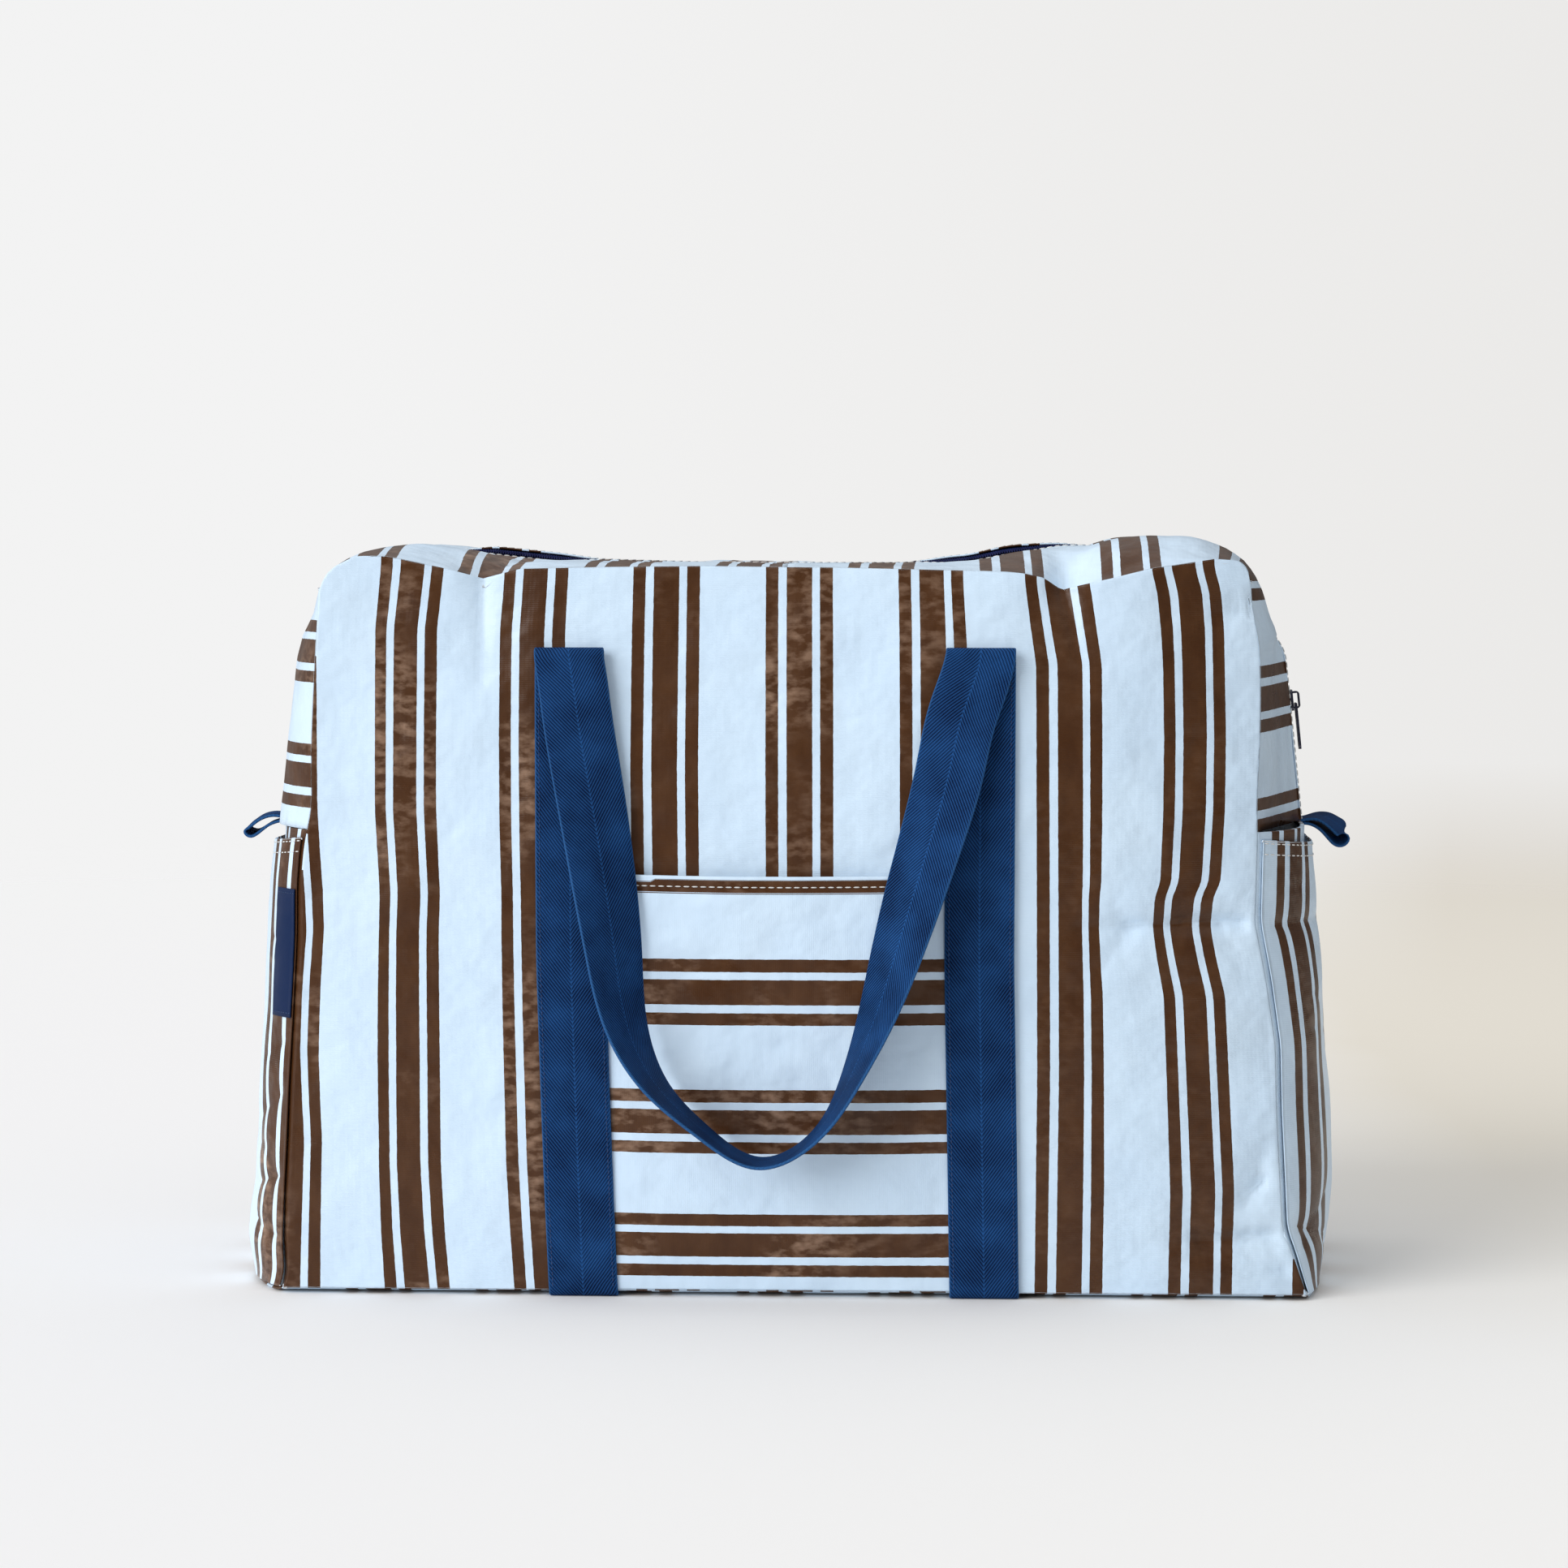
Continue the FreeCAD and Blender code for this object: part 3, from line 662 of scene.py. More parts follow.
gusset = {
    "foot": 256.3, "rows": 26, "step": 4.2, "cloth": 0.45,
    "zipEdge": 9.0, "stitchOff": 2.4,  # from the zip's middle to the hem, and from there to its stitches
    # the zip on the ends leans in from its foot, and more above tuckFrom
    "zipLean": 0.105, "zipFoot": 262.0, "zipRight": 289.5, "zipLeft": 286.0,
    "tuckFrom": 350.0, "tuckRight": 0.20, "tuckLeft": 0.06,
    # the zip over the top, how far the cloth swells beside it, and how far the back hem rises there while the
    # front one drops
    "zipTop": [(-271, 386), (-263, 392.5), (-252, 398.5), (-238, 403), (-215, 408), (-190, 409.5),
               (-171, 409), (-129, 404.5), (-60, 402.5), (0, 402), (62, 402), (100, 404.5), (121, 409),
               (151, 412.5), (190, 411), (215, 411), (238, 409), (252, 403.5), (263, 396), (270, 389)],
    "hump": [(-290, 3), (-283, 1.5), (-276, 0.3), (-262, 0.3), (-248, 3), (-205, 6.5), (-172, 3),
             (-150, 0.5), (-110, 0.8), (0, 1), (80, 0.8), (118, 1.5), (145, 4), (185, 11), (225, 8), (248, 3),
             (262, 0.3), (270, 0.3), (278, -1.5), (290, -1)],
    "tilt": [(-190, 0), (-172, 2.2), (-130, 2.4), (-112, 0), (70, 0), (88, 2.0), (128, 2.6), (150, 1.0),
             (165, 0)],
    "folds": [(-166, -112, -146, -30, 6.5, 7), (-170, -100, -215, -60, 2.0, 9), (151, -112, 168, -34, 8.0, 8),
              (150, -100, 112, -60, 2.5, 9), (158, -90, 205, -60, 2.0, 10), (240, -112, 232, -60, 3.0, 7),
              (-238, -112, -230, -70, 2.0, 7)],
    # the tape: steps back from the zip's middle, and how far each lies under the hem
    "tape": [(-14.0, -2.1), (-11.0, -2.0), (-8.0, -1.9), (-5.0, -1.7), (-3.0, -1.6), (-1.6, -1.6),
             (-0.7, -1.6)],
    "tapeThick": 0.6, "toothPitch": 1.4, "toothSide": -1.32, "toothLow": -0.45,
}
zipTopLine = lineThrough(gusset["zipTop"], 3)
humpLine, tiltLine = lineThrough(gusset["hump"], 5), lineThrough(gusset["tilt"], 6)


def endZip(z, left):  # how far out the zip stands on an end
    tuck = gusset["tuckLeft" if left else "tuckRight"] * np.maximum(0, z - gusset["tuckFrom"]) ** 1.35
    return gusset["zipLeft" if left else "zipRight"] - gusset["zipLean"] * (z - gusset["zipFoot"]) - tuck


# rows of seam x, seam z, zip x, zip z, from the foot of the left end over the top to the right one's foot
def stripPath():
    rows = [(leftSeam(z), z, -endZip(z, True), z) for z in np.linspace(gusset["foot"], 362, 27)]
    rows += [(-255.7, 374, -267, 374), (-255.0, 386.5, -263.5, 386), (-250.6, 396.6, -257, 393.6),
             (-244.5, 402, -248, 399.4), (-235, 405.9, -237, 403.4), (-222.8, 406.6, -223.5, 406.2)]
    rows += [(x, topSeam(x), x, zipTopLine(x)) for x in np.linspace(-212, 222, 109)]
    rows += [(232, 404.3, 233, 409.0), (241, 404.1, 243.5, 406.0), (248.6, 402, 253, 400.5),
             (252, 396.5, 258.5, 394), (253.6, 386, 263.5, 385.5), (254.8, 374.5, 267, 374.5)]
    rows += [(rightSeam(z), z, endZip(z, False), z) for z in np.linspace(364, gusset["foot"], 27)]
    rows = np.array(rows, float)
    at = lengthAlong(rows[:, :2])
    even = np.linspace(0, at[-1], int(at[-1] / gusset["step"]))
    return np.stack([np.interp(even, at, rows[:, i]) for i in range(4)], -1), even


path, pathLength = stripPath()
# places on the seam where a dark triple's middle crosses it, and which triple that is
tripleMarks = (((-260, 283.8), -5), ((-257, 353.6), -4), ((-230, 406), -3), ((-161.8, 395), -2),
               ((-92, 400), -1), ((-20, 400), 0), ((52, 399), 1), ((123.6, 397), 2), ((188.3, 396), 3),
               ((252, 398), 4), ((259, 326.6), 5), ((257.5, 256.5), 6))
markLength = [pathLength[np.argmin(np.hypot(path[:, 0] - p[0], path[:, 1] - p[1]))] for p, _ in tripleMarks]
markTurn = [k * stripeRepeat for _, k in tripleMarks]
pathStripe = np.interp(pathLength, markLength, markTurn)
pathStripe += np.minimum(0, pathLength - markLength[0]) + np.maximum(0, pathLength - markLength[-1])
tangent = np.gradient(path[:, 2:], axis=0)
tangent /= np.linalg.norm(tangent, axis=1, keepdims=True)
outward = np.stack([-tangent[:, 1], tangent[:, 0]], -1)
seamPoints = np.stack([path[:, 0], -depthAt(path[:, 1]), path[:, 1]], -1)
# 0 where the gusset runs straight from its seam to the zip, 1 where it rounds out early
roundness = 0.35 + 0.65 * ease((np.abs(path[:, 2]) - 200) / 60) - 0.85 * ease((path[:, 2] - 271) / 9)
middleColumn = int(np.argmin(np.abs(path[:, 0])))
columnsOf = {"left": slice(0, middleColumn + 1), "right": slice(middleColumn, None)}


def halfStrip(name, back, side, seed):  # one quarter of the zip gusset: front or back, left or right
    own = columnsOf[side]
    seam, way, out = seamPoints[own].copy(), roundness[own], outward[own]
    zipX, zipZ, hump = path[own, 2], path[own, 3], humpLine(path[own, 2])
    seam[:, 1] += pulledIn(seam[:, 0], seam[:, 2], panel["backFolds" if back else "frontFolds"], 0.0)
    q = nearEdges(gusset["rows"], [0.012, 0.03, 0.055])[:, None]  # 0 at the seam, 1 at the zip
    f = (1 - way) * q + way * (1 - (1 - q) ** 3.5)
    tilt = tiltLine(zipX) * (1 if back else -1)
    start = bag["seamGap"] / 110  # clear of the seam, as the panels are
    q = start + (1 - start) * q
    y = seam[:, 1] + (-gusset["zipEdge"] - seam[:, 1]) * q
    rise = hump * 4 * q * (1 - q) * (0.4 + 0.6 * np.sin(math.pi * np.clip(q * 1.1, 0, 1)))
    x = seam[:, 0] + (zipX - seam[:, 0]) * f + out[:, 0] * rise
    z = seam[:, 2] + (zipZ - seam[:, 2]) * f + out[:, 1] * rise + tilt * q ** 3
    flat = ease(q * 8) * ease((1 - q) * 8)
    along = pathLength[own] + 0 * q
    small = crinkles(seed + 1, 60, (0, pathLength[-1], -105, -20), 1.0)
    ripple = waves(along, y, seed, 120, 30, 10) * 0.9 - creases(along, y, small)
    fold = creases(np.where(z > 380, x, 999), y, gusset["folds"]) * ease((1 - q) * 3)  # on the top only
    x = x + out[:, 0] * (ripple * flat - fold)
    z = z + out[:, 1] * (ripple * flat - fold)
    grid = np.stack([x, y, z], -1)
    cut = np.stack([pathStripe[own] + 0 * q, y + bag["depthTop"]], -1)
    # seam allowance at the front, a turned-under hem beside the zip
    base, hem = grid[0], grid[-1]
    inward = -np.stack([out[:, 0], 0 * out[:, 0], out[:, 1]], -1)
    allowance = [seam + inward * 1.55 + (0, 2.25, 0), base + (0, -0.75, 0) + inward * 0.3]
    turned = [hem + (0, step, 0) + inward * deep for step, deep in ((0.45, 0.35), (0.1, 1.0), (-6.0, 1.15))]
    grid = np.concatenate([allowance, grid, turned])
    cutEdge = cut[[0, 0]] - np.array([[[0, 3.0]], [[0, 1.0]]])
    cutHem = cut[[-1, -1, -1]] + np.array([[[0, 0.5]], [[0, 1.2]], [[0, 7.0]]])
    cut = np.concatenate([cutEdge, cut, cutHem])
    if back:
        grid = grid * (1, -1, 1)
    piece = closedSheet(name, grid, cut, gusset["cloth"], clothPair, flip=back)
    edgeLine = (hem + (0, -gusset["stitchOff"], 0) - inward * 0.12) * (1, -1 if back else 1, 1)
    return piece, edgeLine


def zipBand(name, back, side):  # the tape: flat, a little under the gusset's hem
    own = columnsOf[side]
    out = outward[own]
    columns, low = (np.array(steps)[:, None] for steps in zip(*gusset["tape"]))
    tilt = tiltLine(path[own, 2]) * columns / gusset["zipEdge"] * (-1 if back else 1)
    grid = np.stack([path[own, 2] + out[:, 0] * low, columns + 0 * out[:, 0],
                     path[own, 3] + out[:, 1] * low + tilt], -1)
    cut = np.stack([columns + 0 * out[:, 0], pathLength[own] + 0 * columns], -1)
    if back:
        grid = grid * (1, -1, 1)
    return closedSheet(name, grid, cut, gusset["tapeThick"], (zipTape, zipTape), flip=back)


coil = {"Pitch": 0.0014, "Length": 0.00072, "Breadth": 0.0030, "Height": 0.0013, "Side": (0, 1, 0)}
whiteRow = {"Pitch": 0.0044, "Length": 0.0036, "Breadth": 0.0008, "Height": 0.0007, "Side": (0, 1, 0.02)}


def coilChain(back, side):  # where the teeth stand; each row is half a pitch on from its neighbour
    own = columnsOf[side]
    low, pitch = gusset["toothLow"], gusset["toothPitch"]
    tilt = tiltLine(path[own, 2]) * 0.15 * (1 if back else -1)
    line = np.stack([path[own, 2] + outward[own, 0] * low, np.full(len(tilt), gusset["toothSide"]),
                     path[own, 3] + outward[own, 1] * low + tilt], -1)
    at = lengthAlong(line)
    begin = pitch / 2 * (back + (side == "right"))
    even = np.arange(begin, at[-1] - 0.3, pitch)
    line = np.stack([np.interp(even, at, line[:, i]) for i in range(3)], -1)
    return line * (1, -1 if back else 1, 1)


for faceName, isBack in (("front", False), ("back", True)):
    for side, away in (("left", -1), ("right", 1)):
        tag = faceName + side.capitalize()
        piece, edgeLine = halfStrip(tag + "Gusset", isBack, side, 38 if isBack else 31)
        band = zipBand(tag + "ZipTape", isBack, side)
        teeth = rowOf(tag + "ZipCoil", toothTree, [coilChain(isBack, side)], {**coil, "Material": coilNylon})
        sewing = rowOf(tag + "ZipStitches", stitchTree, [edgeLine], {**whiteRow, "Material": whiteThread})
        for thing, node, slotName in ((piece, "gusset", "striped_cloth"), (band, "zip_tape", "zip_tape_navy"),
                                      (teeth, "zip_coil", "zip_coil_navy"), (sewing, None, "striped_cloth")):
            if node:
                nodes = [f"{faceName}_{node}_{side}"] + ([f"{faceName}_{node}_top"] if side == "left" else [])
                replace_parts(thing, *nodes)
            y = bag["depthTop"] * mm * (1 if isBack else -1)
            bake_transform(thing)
print("gusset and zip made")


ends = {
    "square": 4.2,  # how squarely an end turns into its sides
    "stripeStart": {"left": 17.0, "right": 28.5}, "hemStitches": (2.0, 7.5),
    "panel": {
        "low": 3.4, "high": 255.6, "rim": 0.0,
        "share": 0.993, "off": -0.3,  # of the bag's depth, and off the seams
        "wave": 0.5, "proud": 0,
        # how far out the middle of the end stands, by height
        "middle": {"left": [(0, 286), (60, 291), (150, 288), (205, 287), (240, 285), (256, 284.3)],
                   "right": [(0, 286), (60, 292), (150, 291), (205, 289.5), (240, 289.5), (256, 290)]},
        "folds": {"left": [], "right": []},
        # two steps round each edge, which make its seam allowance
        "ring": {"left": ((-0.2, -0.25, 0), (-1.6, 0.35, 0)), "right": ((-0.2, 0.25, 0), (-1.6, -0.35, 0)),
                 "low": ((-0.3, 0, -0.6), (-2.0, 0, 0.6)), "high": ((-0.3, 0, 0.3), (-2.4, 0, 0.3))},
    },
    "pocket": {
        "low": 3.8, "high": 247.0, "rim": 5.0,  # its mouth sags by that much
        "share": 0.982, "off": 0.9,
        "wave": 0.9, "proud": 0.6,
        "middle": {"left": [(0, 301), (22, 307), (41, 305.5), (67, 302.5), (93, 300.5), (150, 297),
                            (206, 294), (247, 289.5)],
                   "right": [(0, 296), (30, 303), (60, 305), (97, 304.5), (150, 301), (205, 296.5),
                             (247, 293)]},
        "folds": {
            "left": [(-118, 66, -60, 50, 4.5, 6), (-116, 30, -70, 40, 4.0, 6), (-110, 110, -76, 88, 3.0, 7),
                     (-112, 140, -90, 128, 2.0, 5), (-60, 90, -30, 30, 2.5, 8), (70, 60, 30, 80, 2.0, 7)],
            "right": [(-118, 205, -40, 204, 5.0, 6), (-112, 40, -60, 26, 4.0, 6), (-116, 22, -70, 60, 3.0, 7),
                      (-60, 150, -20, 120, 2.0, 8), (60, 90, 20, 60, 2.0, 7), (80, 180, 40, 190, 2.0, 7)],
        },
        "ring": {"left": ((0.1, -0.2, 0), (-0.5, -0.4, 0)), "right": ((0.1, 0.2, 0), (-0.5, 0.4, 0)),
                 "low": ((-0.3, 0, -0.4), (-1.2, 0, 0.2)), "high": ((-0.35, 0, 0.5), (-0.95, 0, -0.6))},
    },
}
seamLines = {"left": leftSeam, "right": rightSeam}
pocketMiddle = {side: lineThrough(points, 8) for side, points in ends["pocket"]["middle"].items()}


def endSheet(name, side, sheet, seed):  # an end's panel or its pocket
    t, b = np.meshgrid(nearEdges(74, [0.005, 0.012, 0.022]), nearEdges(84, [0.006, 0.015, 0.03]))
    sag = sheet["rim"] * (np.abs(2 * t - 1) ** 3 - 0.15)
    z = sheet["low"] + b * (sheet["high"] - sheet["low"] + sag)
    depth = depthAt(z) * sheet["share"]
    y = -depth + 2 * depth * t
    seam = np.abs(seamLines[side](z))
    full = 1 - np.abs(y / depthAt(z)) ** ends["square"]
    x = seam + (lineThrough(sheet["middle"][side], 8)(z) - seam) * full + sheet["off"]
    fromSide = np.minimum(t, 1 - t)
    calm = ease(fromSide * 9 + 0.05) * ease(b * 10 + 0.05)
    small = crinkles(seed + 1, 40, (-115, 115, 10, 240), 1.2)
    shift = waves(y, z, seed, 140, 34, 12) * sheet["wave"] + creases(y, z, small)
    x = x - np.clip(calm * shift, -sheet["proud"], 6)  # swells by no more than proud
    x = x - creases(y, z, sheet["folds"][side]) * ease(fromSide * 20)
    grid = np.stack([x, y, z], -1)
    arc = np.cumsum(np.hypot(np.diff(x, axis=1), np.diff(y, axis=1)), 1)
    arc = np.concatenate([np.zeros((len(t), 1)), arc], 1)
    cut = np.stack([arc - ends["stripeStart"][side], z], -1)
    grid, cut = seamRing(grid, cut, sheet["ring"])
    if side == "left":
        grid = grid * (-1, 1, 1)
    return closedSheet(name, grid, cut, bag["cloth"], clothPair, flip=side == "left"), grid


hemStitch = {"Pitch": 0.0046, "Length": 0.0038, "Breadth": 0.0008, "Height": 0.0007, "Side": (0, 0, 1)}

pocketGrids = {}
for side, sign, seed in (("left", -1, 67), ("right", 1, 61)):
    wall, _ = endSheet(side + "EndPanel", side, ends["panel"], 51)
    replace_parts(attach(wall, "bag"), side + "_end_panel")
    pocket, grid = endSheet(side + "EndPocket", side, ends["pocket"], seed)
    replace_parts(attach(pocket, "bag"), side + "_end_pocket")
    rows = []
    for under in ends["hemStitches"]:
        i = int(np.argmin(np.abs(grid[:, 40, 2] - (grid[-3, 40, 2] - under))))
        rows.append(grid[i, 3:-3] + (0.25 * sign, 0, 0))
    sewing = rowOf(side + "EndHemStitches", stitchTree, rows, {**hemStitch, "Material": whiteThread})
    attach(sewing, "bag")
    pocketGrids[side] = grid

label = {"low": 152.0, "high": 223.0, "front": 1.2, "back": 19.0, "thick": 0.5, "proud": 1.15, "swell": 0.4}
labelStitch = {"Pitch": 0.0024, "Length": 0.0019, "Breadth": 0.0005, "Height": 0.0005, "Side": (0, 0, 1)}


def sideLabel():  # lies on the left end pocket, beside the front seam
    rows = np.linspace(label["low"], label["high"], 30)
    inAlong = np.linspace(label["front"], label["back"], 12)
    points = np.zeros((len(rows), len(inAlong), 3))
    column = pocketGrids["left"][2:-2, 2:-2]
    for i, z in enumerate(rows):
        line = column[int(np.argmin(np.abs(column[:, 20, 2] - z)))]
        y = inAlong - depthAt(z)
        points[i, :, 0] = np.interp(y, line[:, 1], line[:, 0]) - label["proud"]
        points[i, :, 1], points[i, :, 2] = y, z
    fromMiddle = np.hypot((rows - rows.mean())[:, None] / 36, (inAlong - inAlong.mean())[None] / 8)
    points[..., 0] -= label["swell"] * np.clip(1 - fromMiddle ** 2, 0, 1)
    cut = np.stack(np.broadcast_arrays(inAlong[None], rows[:, None]), -1)
    piece = closedSheet("sideLabel", points, cut, label["thick"], (labelSatin, labelSatin), flip=True)
    rims = [points[row, 1:-1] + (-0.15, 0, 0) for row in (1, -2)]
    return piece, rims


labelPiece, labelRims = sideLabel()
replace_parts(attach(labelPiece, "bag"), "side_label")
labelSewing = rowOf("labelStitches", stitchTree, labelRims, {**labelStitch, "Material": navyThread})
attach(labelSewing, "bag")
print("ends, pockets and label made")


bottom = {
    "halfDepth": 118.6, "inset": 1.6, "low": 0.75, "edgeRise": 1.9, "ripple": 0.25,
    "overStrap": 2.2, "strapFade": 14, "stripeStart": -8,
}


def basePanel():  # its outline follows the foot of the end pockets, and it rises over the straps
    t, s = np.meshgrid(nearEdges(90, [0.004, 0.010]), nearEdges(130, [0.003, 0.008]))
    t, s = t.T, s.T
    y = (2 * t - 1) * bottom["halfDepth"]
    bow = 1 - np.abs(y / bag["depthBase"]) ** ends["square"]
    reach = []
    for side in ("left", "right"):
        seam, middle = abs(float(seamLines[side](4))), float(pocketMiddle[side](4))
        reach.append(seam + (middle - seam) * bow - bottom["inset"])
    x = -reach[0] + (reach[1] + reach[0]) * s
    overStrap = np.zeros_like(x)
    for middle in strap["floorX"].values():
        away = np.abs(x - middle) - strap["width"] / 2
        overStrap = np.maximum(overStrap, 1 - ease(away / bottom["strapFade"]))
    inside = ease((np.minimum(t, 1 - t) * 237) / 7)
    z = bottom["low"] + (bottom["overStrap"] - bottom["low"]) * overStrap
    z = z + (1 - inside) * (bottom["edgeRise"] - 1.45 * overStrap)
    z = z + bottom["ripple"] * (1 + waves(x, y, 83, 130, 40, 8)) * inside * (1 - overStrap)
    grid = np.stack([x, y, z], -1)
    cut = np.stack([x - bottom["stripeStart"], y], -1)
    ring = {"left": ((-0.1, 0, 0.3), (1.0, 0, 1.6)), "right": ((0.1, 0, 0.3), (-1.0, 0, 1.6)),
            "low": ((0, -0.2, 0.4), (0, 0.9, 1.5)), "high": ((0, 0.2, 0.4), (0, -0.9, 1.5))}
    grid, cut = seamRing(grid, cut, ring)
    return closedSheet("basePanel", grid, cut, bag["cloth"], clothPair, flip=True)


base = basePanel()
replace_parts(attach(base, "bag"), "base_panel")

frontPocket = {
    "low": 4.6, "high": 233.0, "left": -115.5, "right": 107.5,
    # it stands off the front between the straps
    "lift": 1.45, "leastLift": 1.35, "gape": 5.5, "openHalf": 88, "openCentre": -4,
    # the hem is plain but for a brown band
    "triples": (30.0, 98.0, 169.0), "hem": 214, "bandLow": 223.5, "bandHigh": 230.3, "stitches": 225.7,
    "folds": [(-70, 60, -20, 38, 2.2, 7), (60, 40, 20, 22, 2.5, 7), (85, 150, 50, 160, 1.4, 6),
              (-88, 180, -50, 190, 1.2, 6), (10, 120, 48, 100, 1.4, 7)],
}


def pocketOnFront():
    p = frontPocket
    s, b = np.meshgrid(nearEdges(84, [0.006, 0.014]), nearEdges(86, [0.004, 0.009, 0.016]))
    x = p["left"] + (p["right"] - p["left"]) * s
    z = p["low"] + (p["high"] - p["low"]) * b - 1.1 * np.sin(math.pi * s) * b
    across = np.clip(np.abs((x - p["openCentre"]) / p["openHalf"]), 0, 1)
    up = np.clip((z - p["low"]) / 75, 0, 1)
    room = bulge(across) * (1 - (1 - up) ** 2)
    small = crinkles(92, 46, (-88, 80, 10, 225), 0.9)
    loose = 0.7 * waves(x, z, 91, 110, 26, 12) + 0.4 - creases(x, z, p["folds"] + small)
    lift = p["lift"] + p["gape"] * room + room * loose
    y = -(frontReach(x, z) + np.maximum(lift, p["leastLift"]))
    turns = [k * stripeRepeat for k in range(len(p["triples"]))]
    u = np.interp(z, p["triples"], turns)
    u = u + np.minimum(0, z - p["triples"][0]) + np.maximum(0, z - p["triples"][-1])
    u = np.where(z > p["hem"], turns[-1] + stripeRepeat / 2, u)
    u = np.where((z > p["bandLow"]) & (z < p["bandHigh"]), turns[-1], u)
    grid = np.stack([x, y, z], -1)
    cut = np.stack([u, x], -1)
    ring = {"left": ((0, 0.1, 0), (0.1, 0.6, 0)), "right": ((0, 0.1, 0), (-0.1, 0.6, 0)),
            "low": ((0, 0.3, -0.3), (0, 0.9, 0.2)), "high": ((0, 0.3, 0.4), (0, 0.95, -0.6))}
    grid, cut = seamRing(grid, cut, ring)
    cut[:, :, 0] = np.pad(u, 2, "edge")  # the hem stays one colour over its edge
    return closedSheet("frontPocket", grid, cut, bag["cloth"], clothPair), grid


pocketPiece, frontGrid = pocketOnFront()
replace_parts(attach(pocketPiece, "bag"), "front_pocket")
hemRow = int(np.argmin(np.abs(frontGrid[:, 44, 2] - frontPocket["stitches"])))
pocketSewing = rowOf("frontHemStitches", stitchTree, [frontGrid[hemRow, 4:-4] + (0, -0.2, 0)],
                     {**hemStitch, "Material": whiteThread})
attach(pocketSewing, "bag")
print("base and front pocket made")


def strapUnderside(side, z):  # how far out the back of the webbing lies, over the cloth and the pocket's side
    nearEdge = abs(strapMiddle[side](z)) - strap["width"] / 2
    change = strap["liftHigh"] - strap["liftLow"]
    lift = strap["liftLow"] + change * ease((z - strap["overPocket"]) / 30)
    return float(frontReach(nearEdge, z)) + float(lift)


def longStrap(side):
    half = strap["thick"] / 2
    up = [(strapMiddle[side](z), -(strapUnderside(side, z) + half), z)
          for z in np.linspace(7, strap["end"], 80)]
    floorX = strap["floorX"][side]
    foot = up[0][1]
    corner = [(floorX, foot + inset, z) for inset, z in ((0.25, 4.6), (1.1, 2.4), (2.6, 1.15), (4.6, half))]
    front = up[::-1] + corner
    under = [(floorX, y, half) for y in np.linspace(foot + 9, -foot - 9, 50)]
    back = [(x, -y, z) for x, y, z in front[::-1]]
    centre = np.array(front + under + back)
    across = np.tile((1.0, 0, 0), (len(centre), 1))
    return ribbonPiece(side + "Strap", centre, across, strap["width"], strap["thick"], (webbing38,)), centre


edgeStitch = {"Pitch": 0.0030, "Length": 0.0024, "Breadth": 0.0006, "Height": 0.00045, "Side": (1, 0, 0)}
for side in ("left", "right"):
    piece, centre = longStrap(side)
    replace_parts(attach(piece, "bag"),
                "front_strap_" + side, "base_strap_" + side, "back_strap_" + side)
    front = centre[:80] - (0, strap["thick"] / 2 + strap["proud"], 0)
    rows = [front + (offset, 0, 0) for offset in (-strap["sewnAt"], strap["sewnAt"])]
    rows += [row * (1, -1, 1) for row in rows]
    for z in strap["bars"]:  # sewn across under the fold
        y = strapUnderside(side, z) + strap["thick"] + strap["proud"]
        along = np.linspace(-strap["barHalf"], strap["barHalf"], 12)
        bar = np.array([(strapMiddle[side](z) + a, -y, z) for a in along])
        rows += [bar, bar * (1, -1, 1)]
    sewing = rowOf(side + "StrapStitches", stitchTree, rows, {**edgeStitch, "Material": navyThread})
    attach(sewing, "bag")

handle = {  # middle of the webbing and its turn: flat against the bag at 0 and 180 degrees, edge on at 90
    "left": [(-112.2, -128.5, 320, 5), (-107, -131.5, 289, 11), (-101, -136, 255, 20), (-95.5, -142, 222, 30),
             (-91, -147, 192, 41), (-84, -152, 153, 58), (-68, -156, 121, 74), (-42, -157, 96, 85),
             (-11, -157.5, 79.5, 90)],
    "right": [(18, -157, 94, 95), (37, -156.5, 124, 106), (51, -153.5, 158, 122), (63, -148.5, 196, 139),
              (72, -144, 226, 150), (82, -137, 259, 160), (90, -131.5, 289, 169), (97, -128.5, 320, 175)],
    "steps": 260,
}


def carryHandle(name, back):
    half = strap["thick"] / 2
    hinge, top = -strap["hingeY"], strap["foldHeight"]
    fold = []  # from the strap's layer up, round and down on the outside
    for side in ("left", "right"):
        x = strapMiddle[side](top)
        layer = -(float(frontReach(abs(x) - strap["width"] / 2, top - 2)) + strap["liftHigh"] + half)
        radius = (layer - hinge) / 2
        turn = [(x, layer, strap["end"] + 0.15), (x, layer, top - 1.4)]
        turn += [(x, layer - radius + radius * math.cos(a), top + radius * math.sin(a))
                 for a in np.radians((20, 55, 90, 125, 160))]
        lean = 1 if side == "left" else -1.6
        turn += [(x + 0.3 * lean, hinge - 0.05, 350), (x + 1.9 * lean, hinge - 0.8, 340)]
        fold.append([(*p, 0 if side == "left" else 180) for p in turn])
    rows = fold[0] + handle["left"] + handle["right"] + fold[1][::-1]
    rows = smoothThrough(rows, handle["steps"])
    angle = np.radians(rows[:, 3])
    across = np.stack([-np.cos(angle), -np.sin(angle), 0 * angle], -1)
    centre = rows[:, :3].copy()
    if back:
        centre, across = centre * (1, -1, 1), across * (1, -1, 1)
    return ribbonPiece(name, centre, across, strap["width"], strap["thick"], (webbing38,))


for faceName, isBack in (("front", False), ("back", True)):
    piece = carryHandle(faceName + "Handle", isBack)
    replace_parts(piece, faceName + "_handle")
    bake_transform(piece)

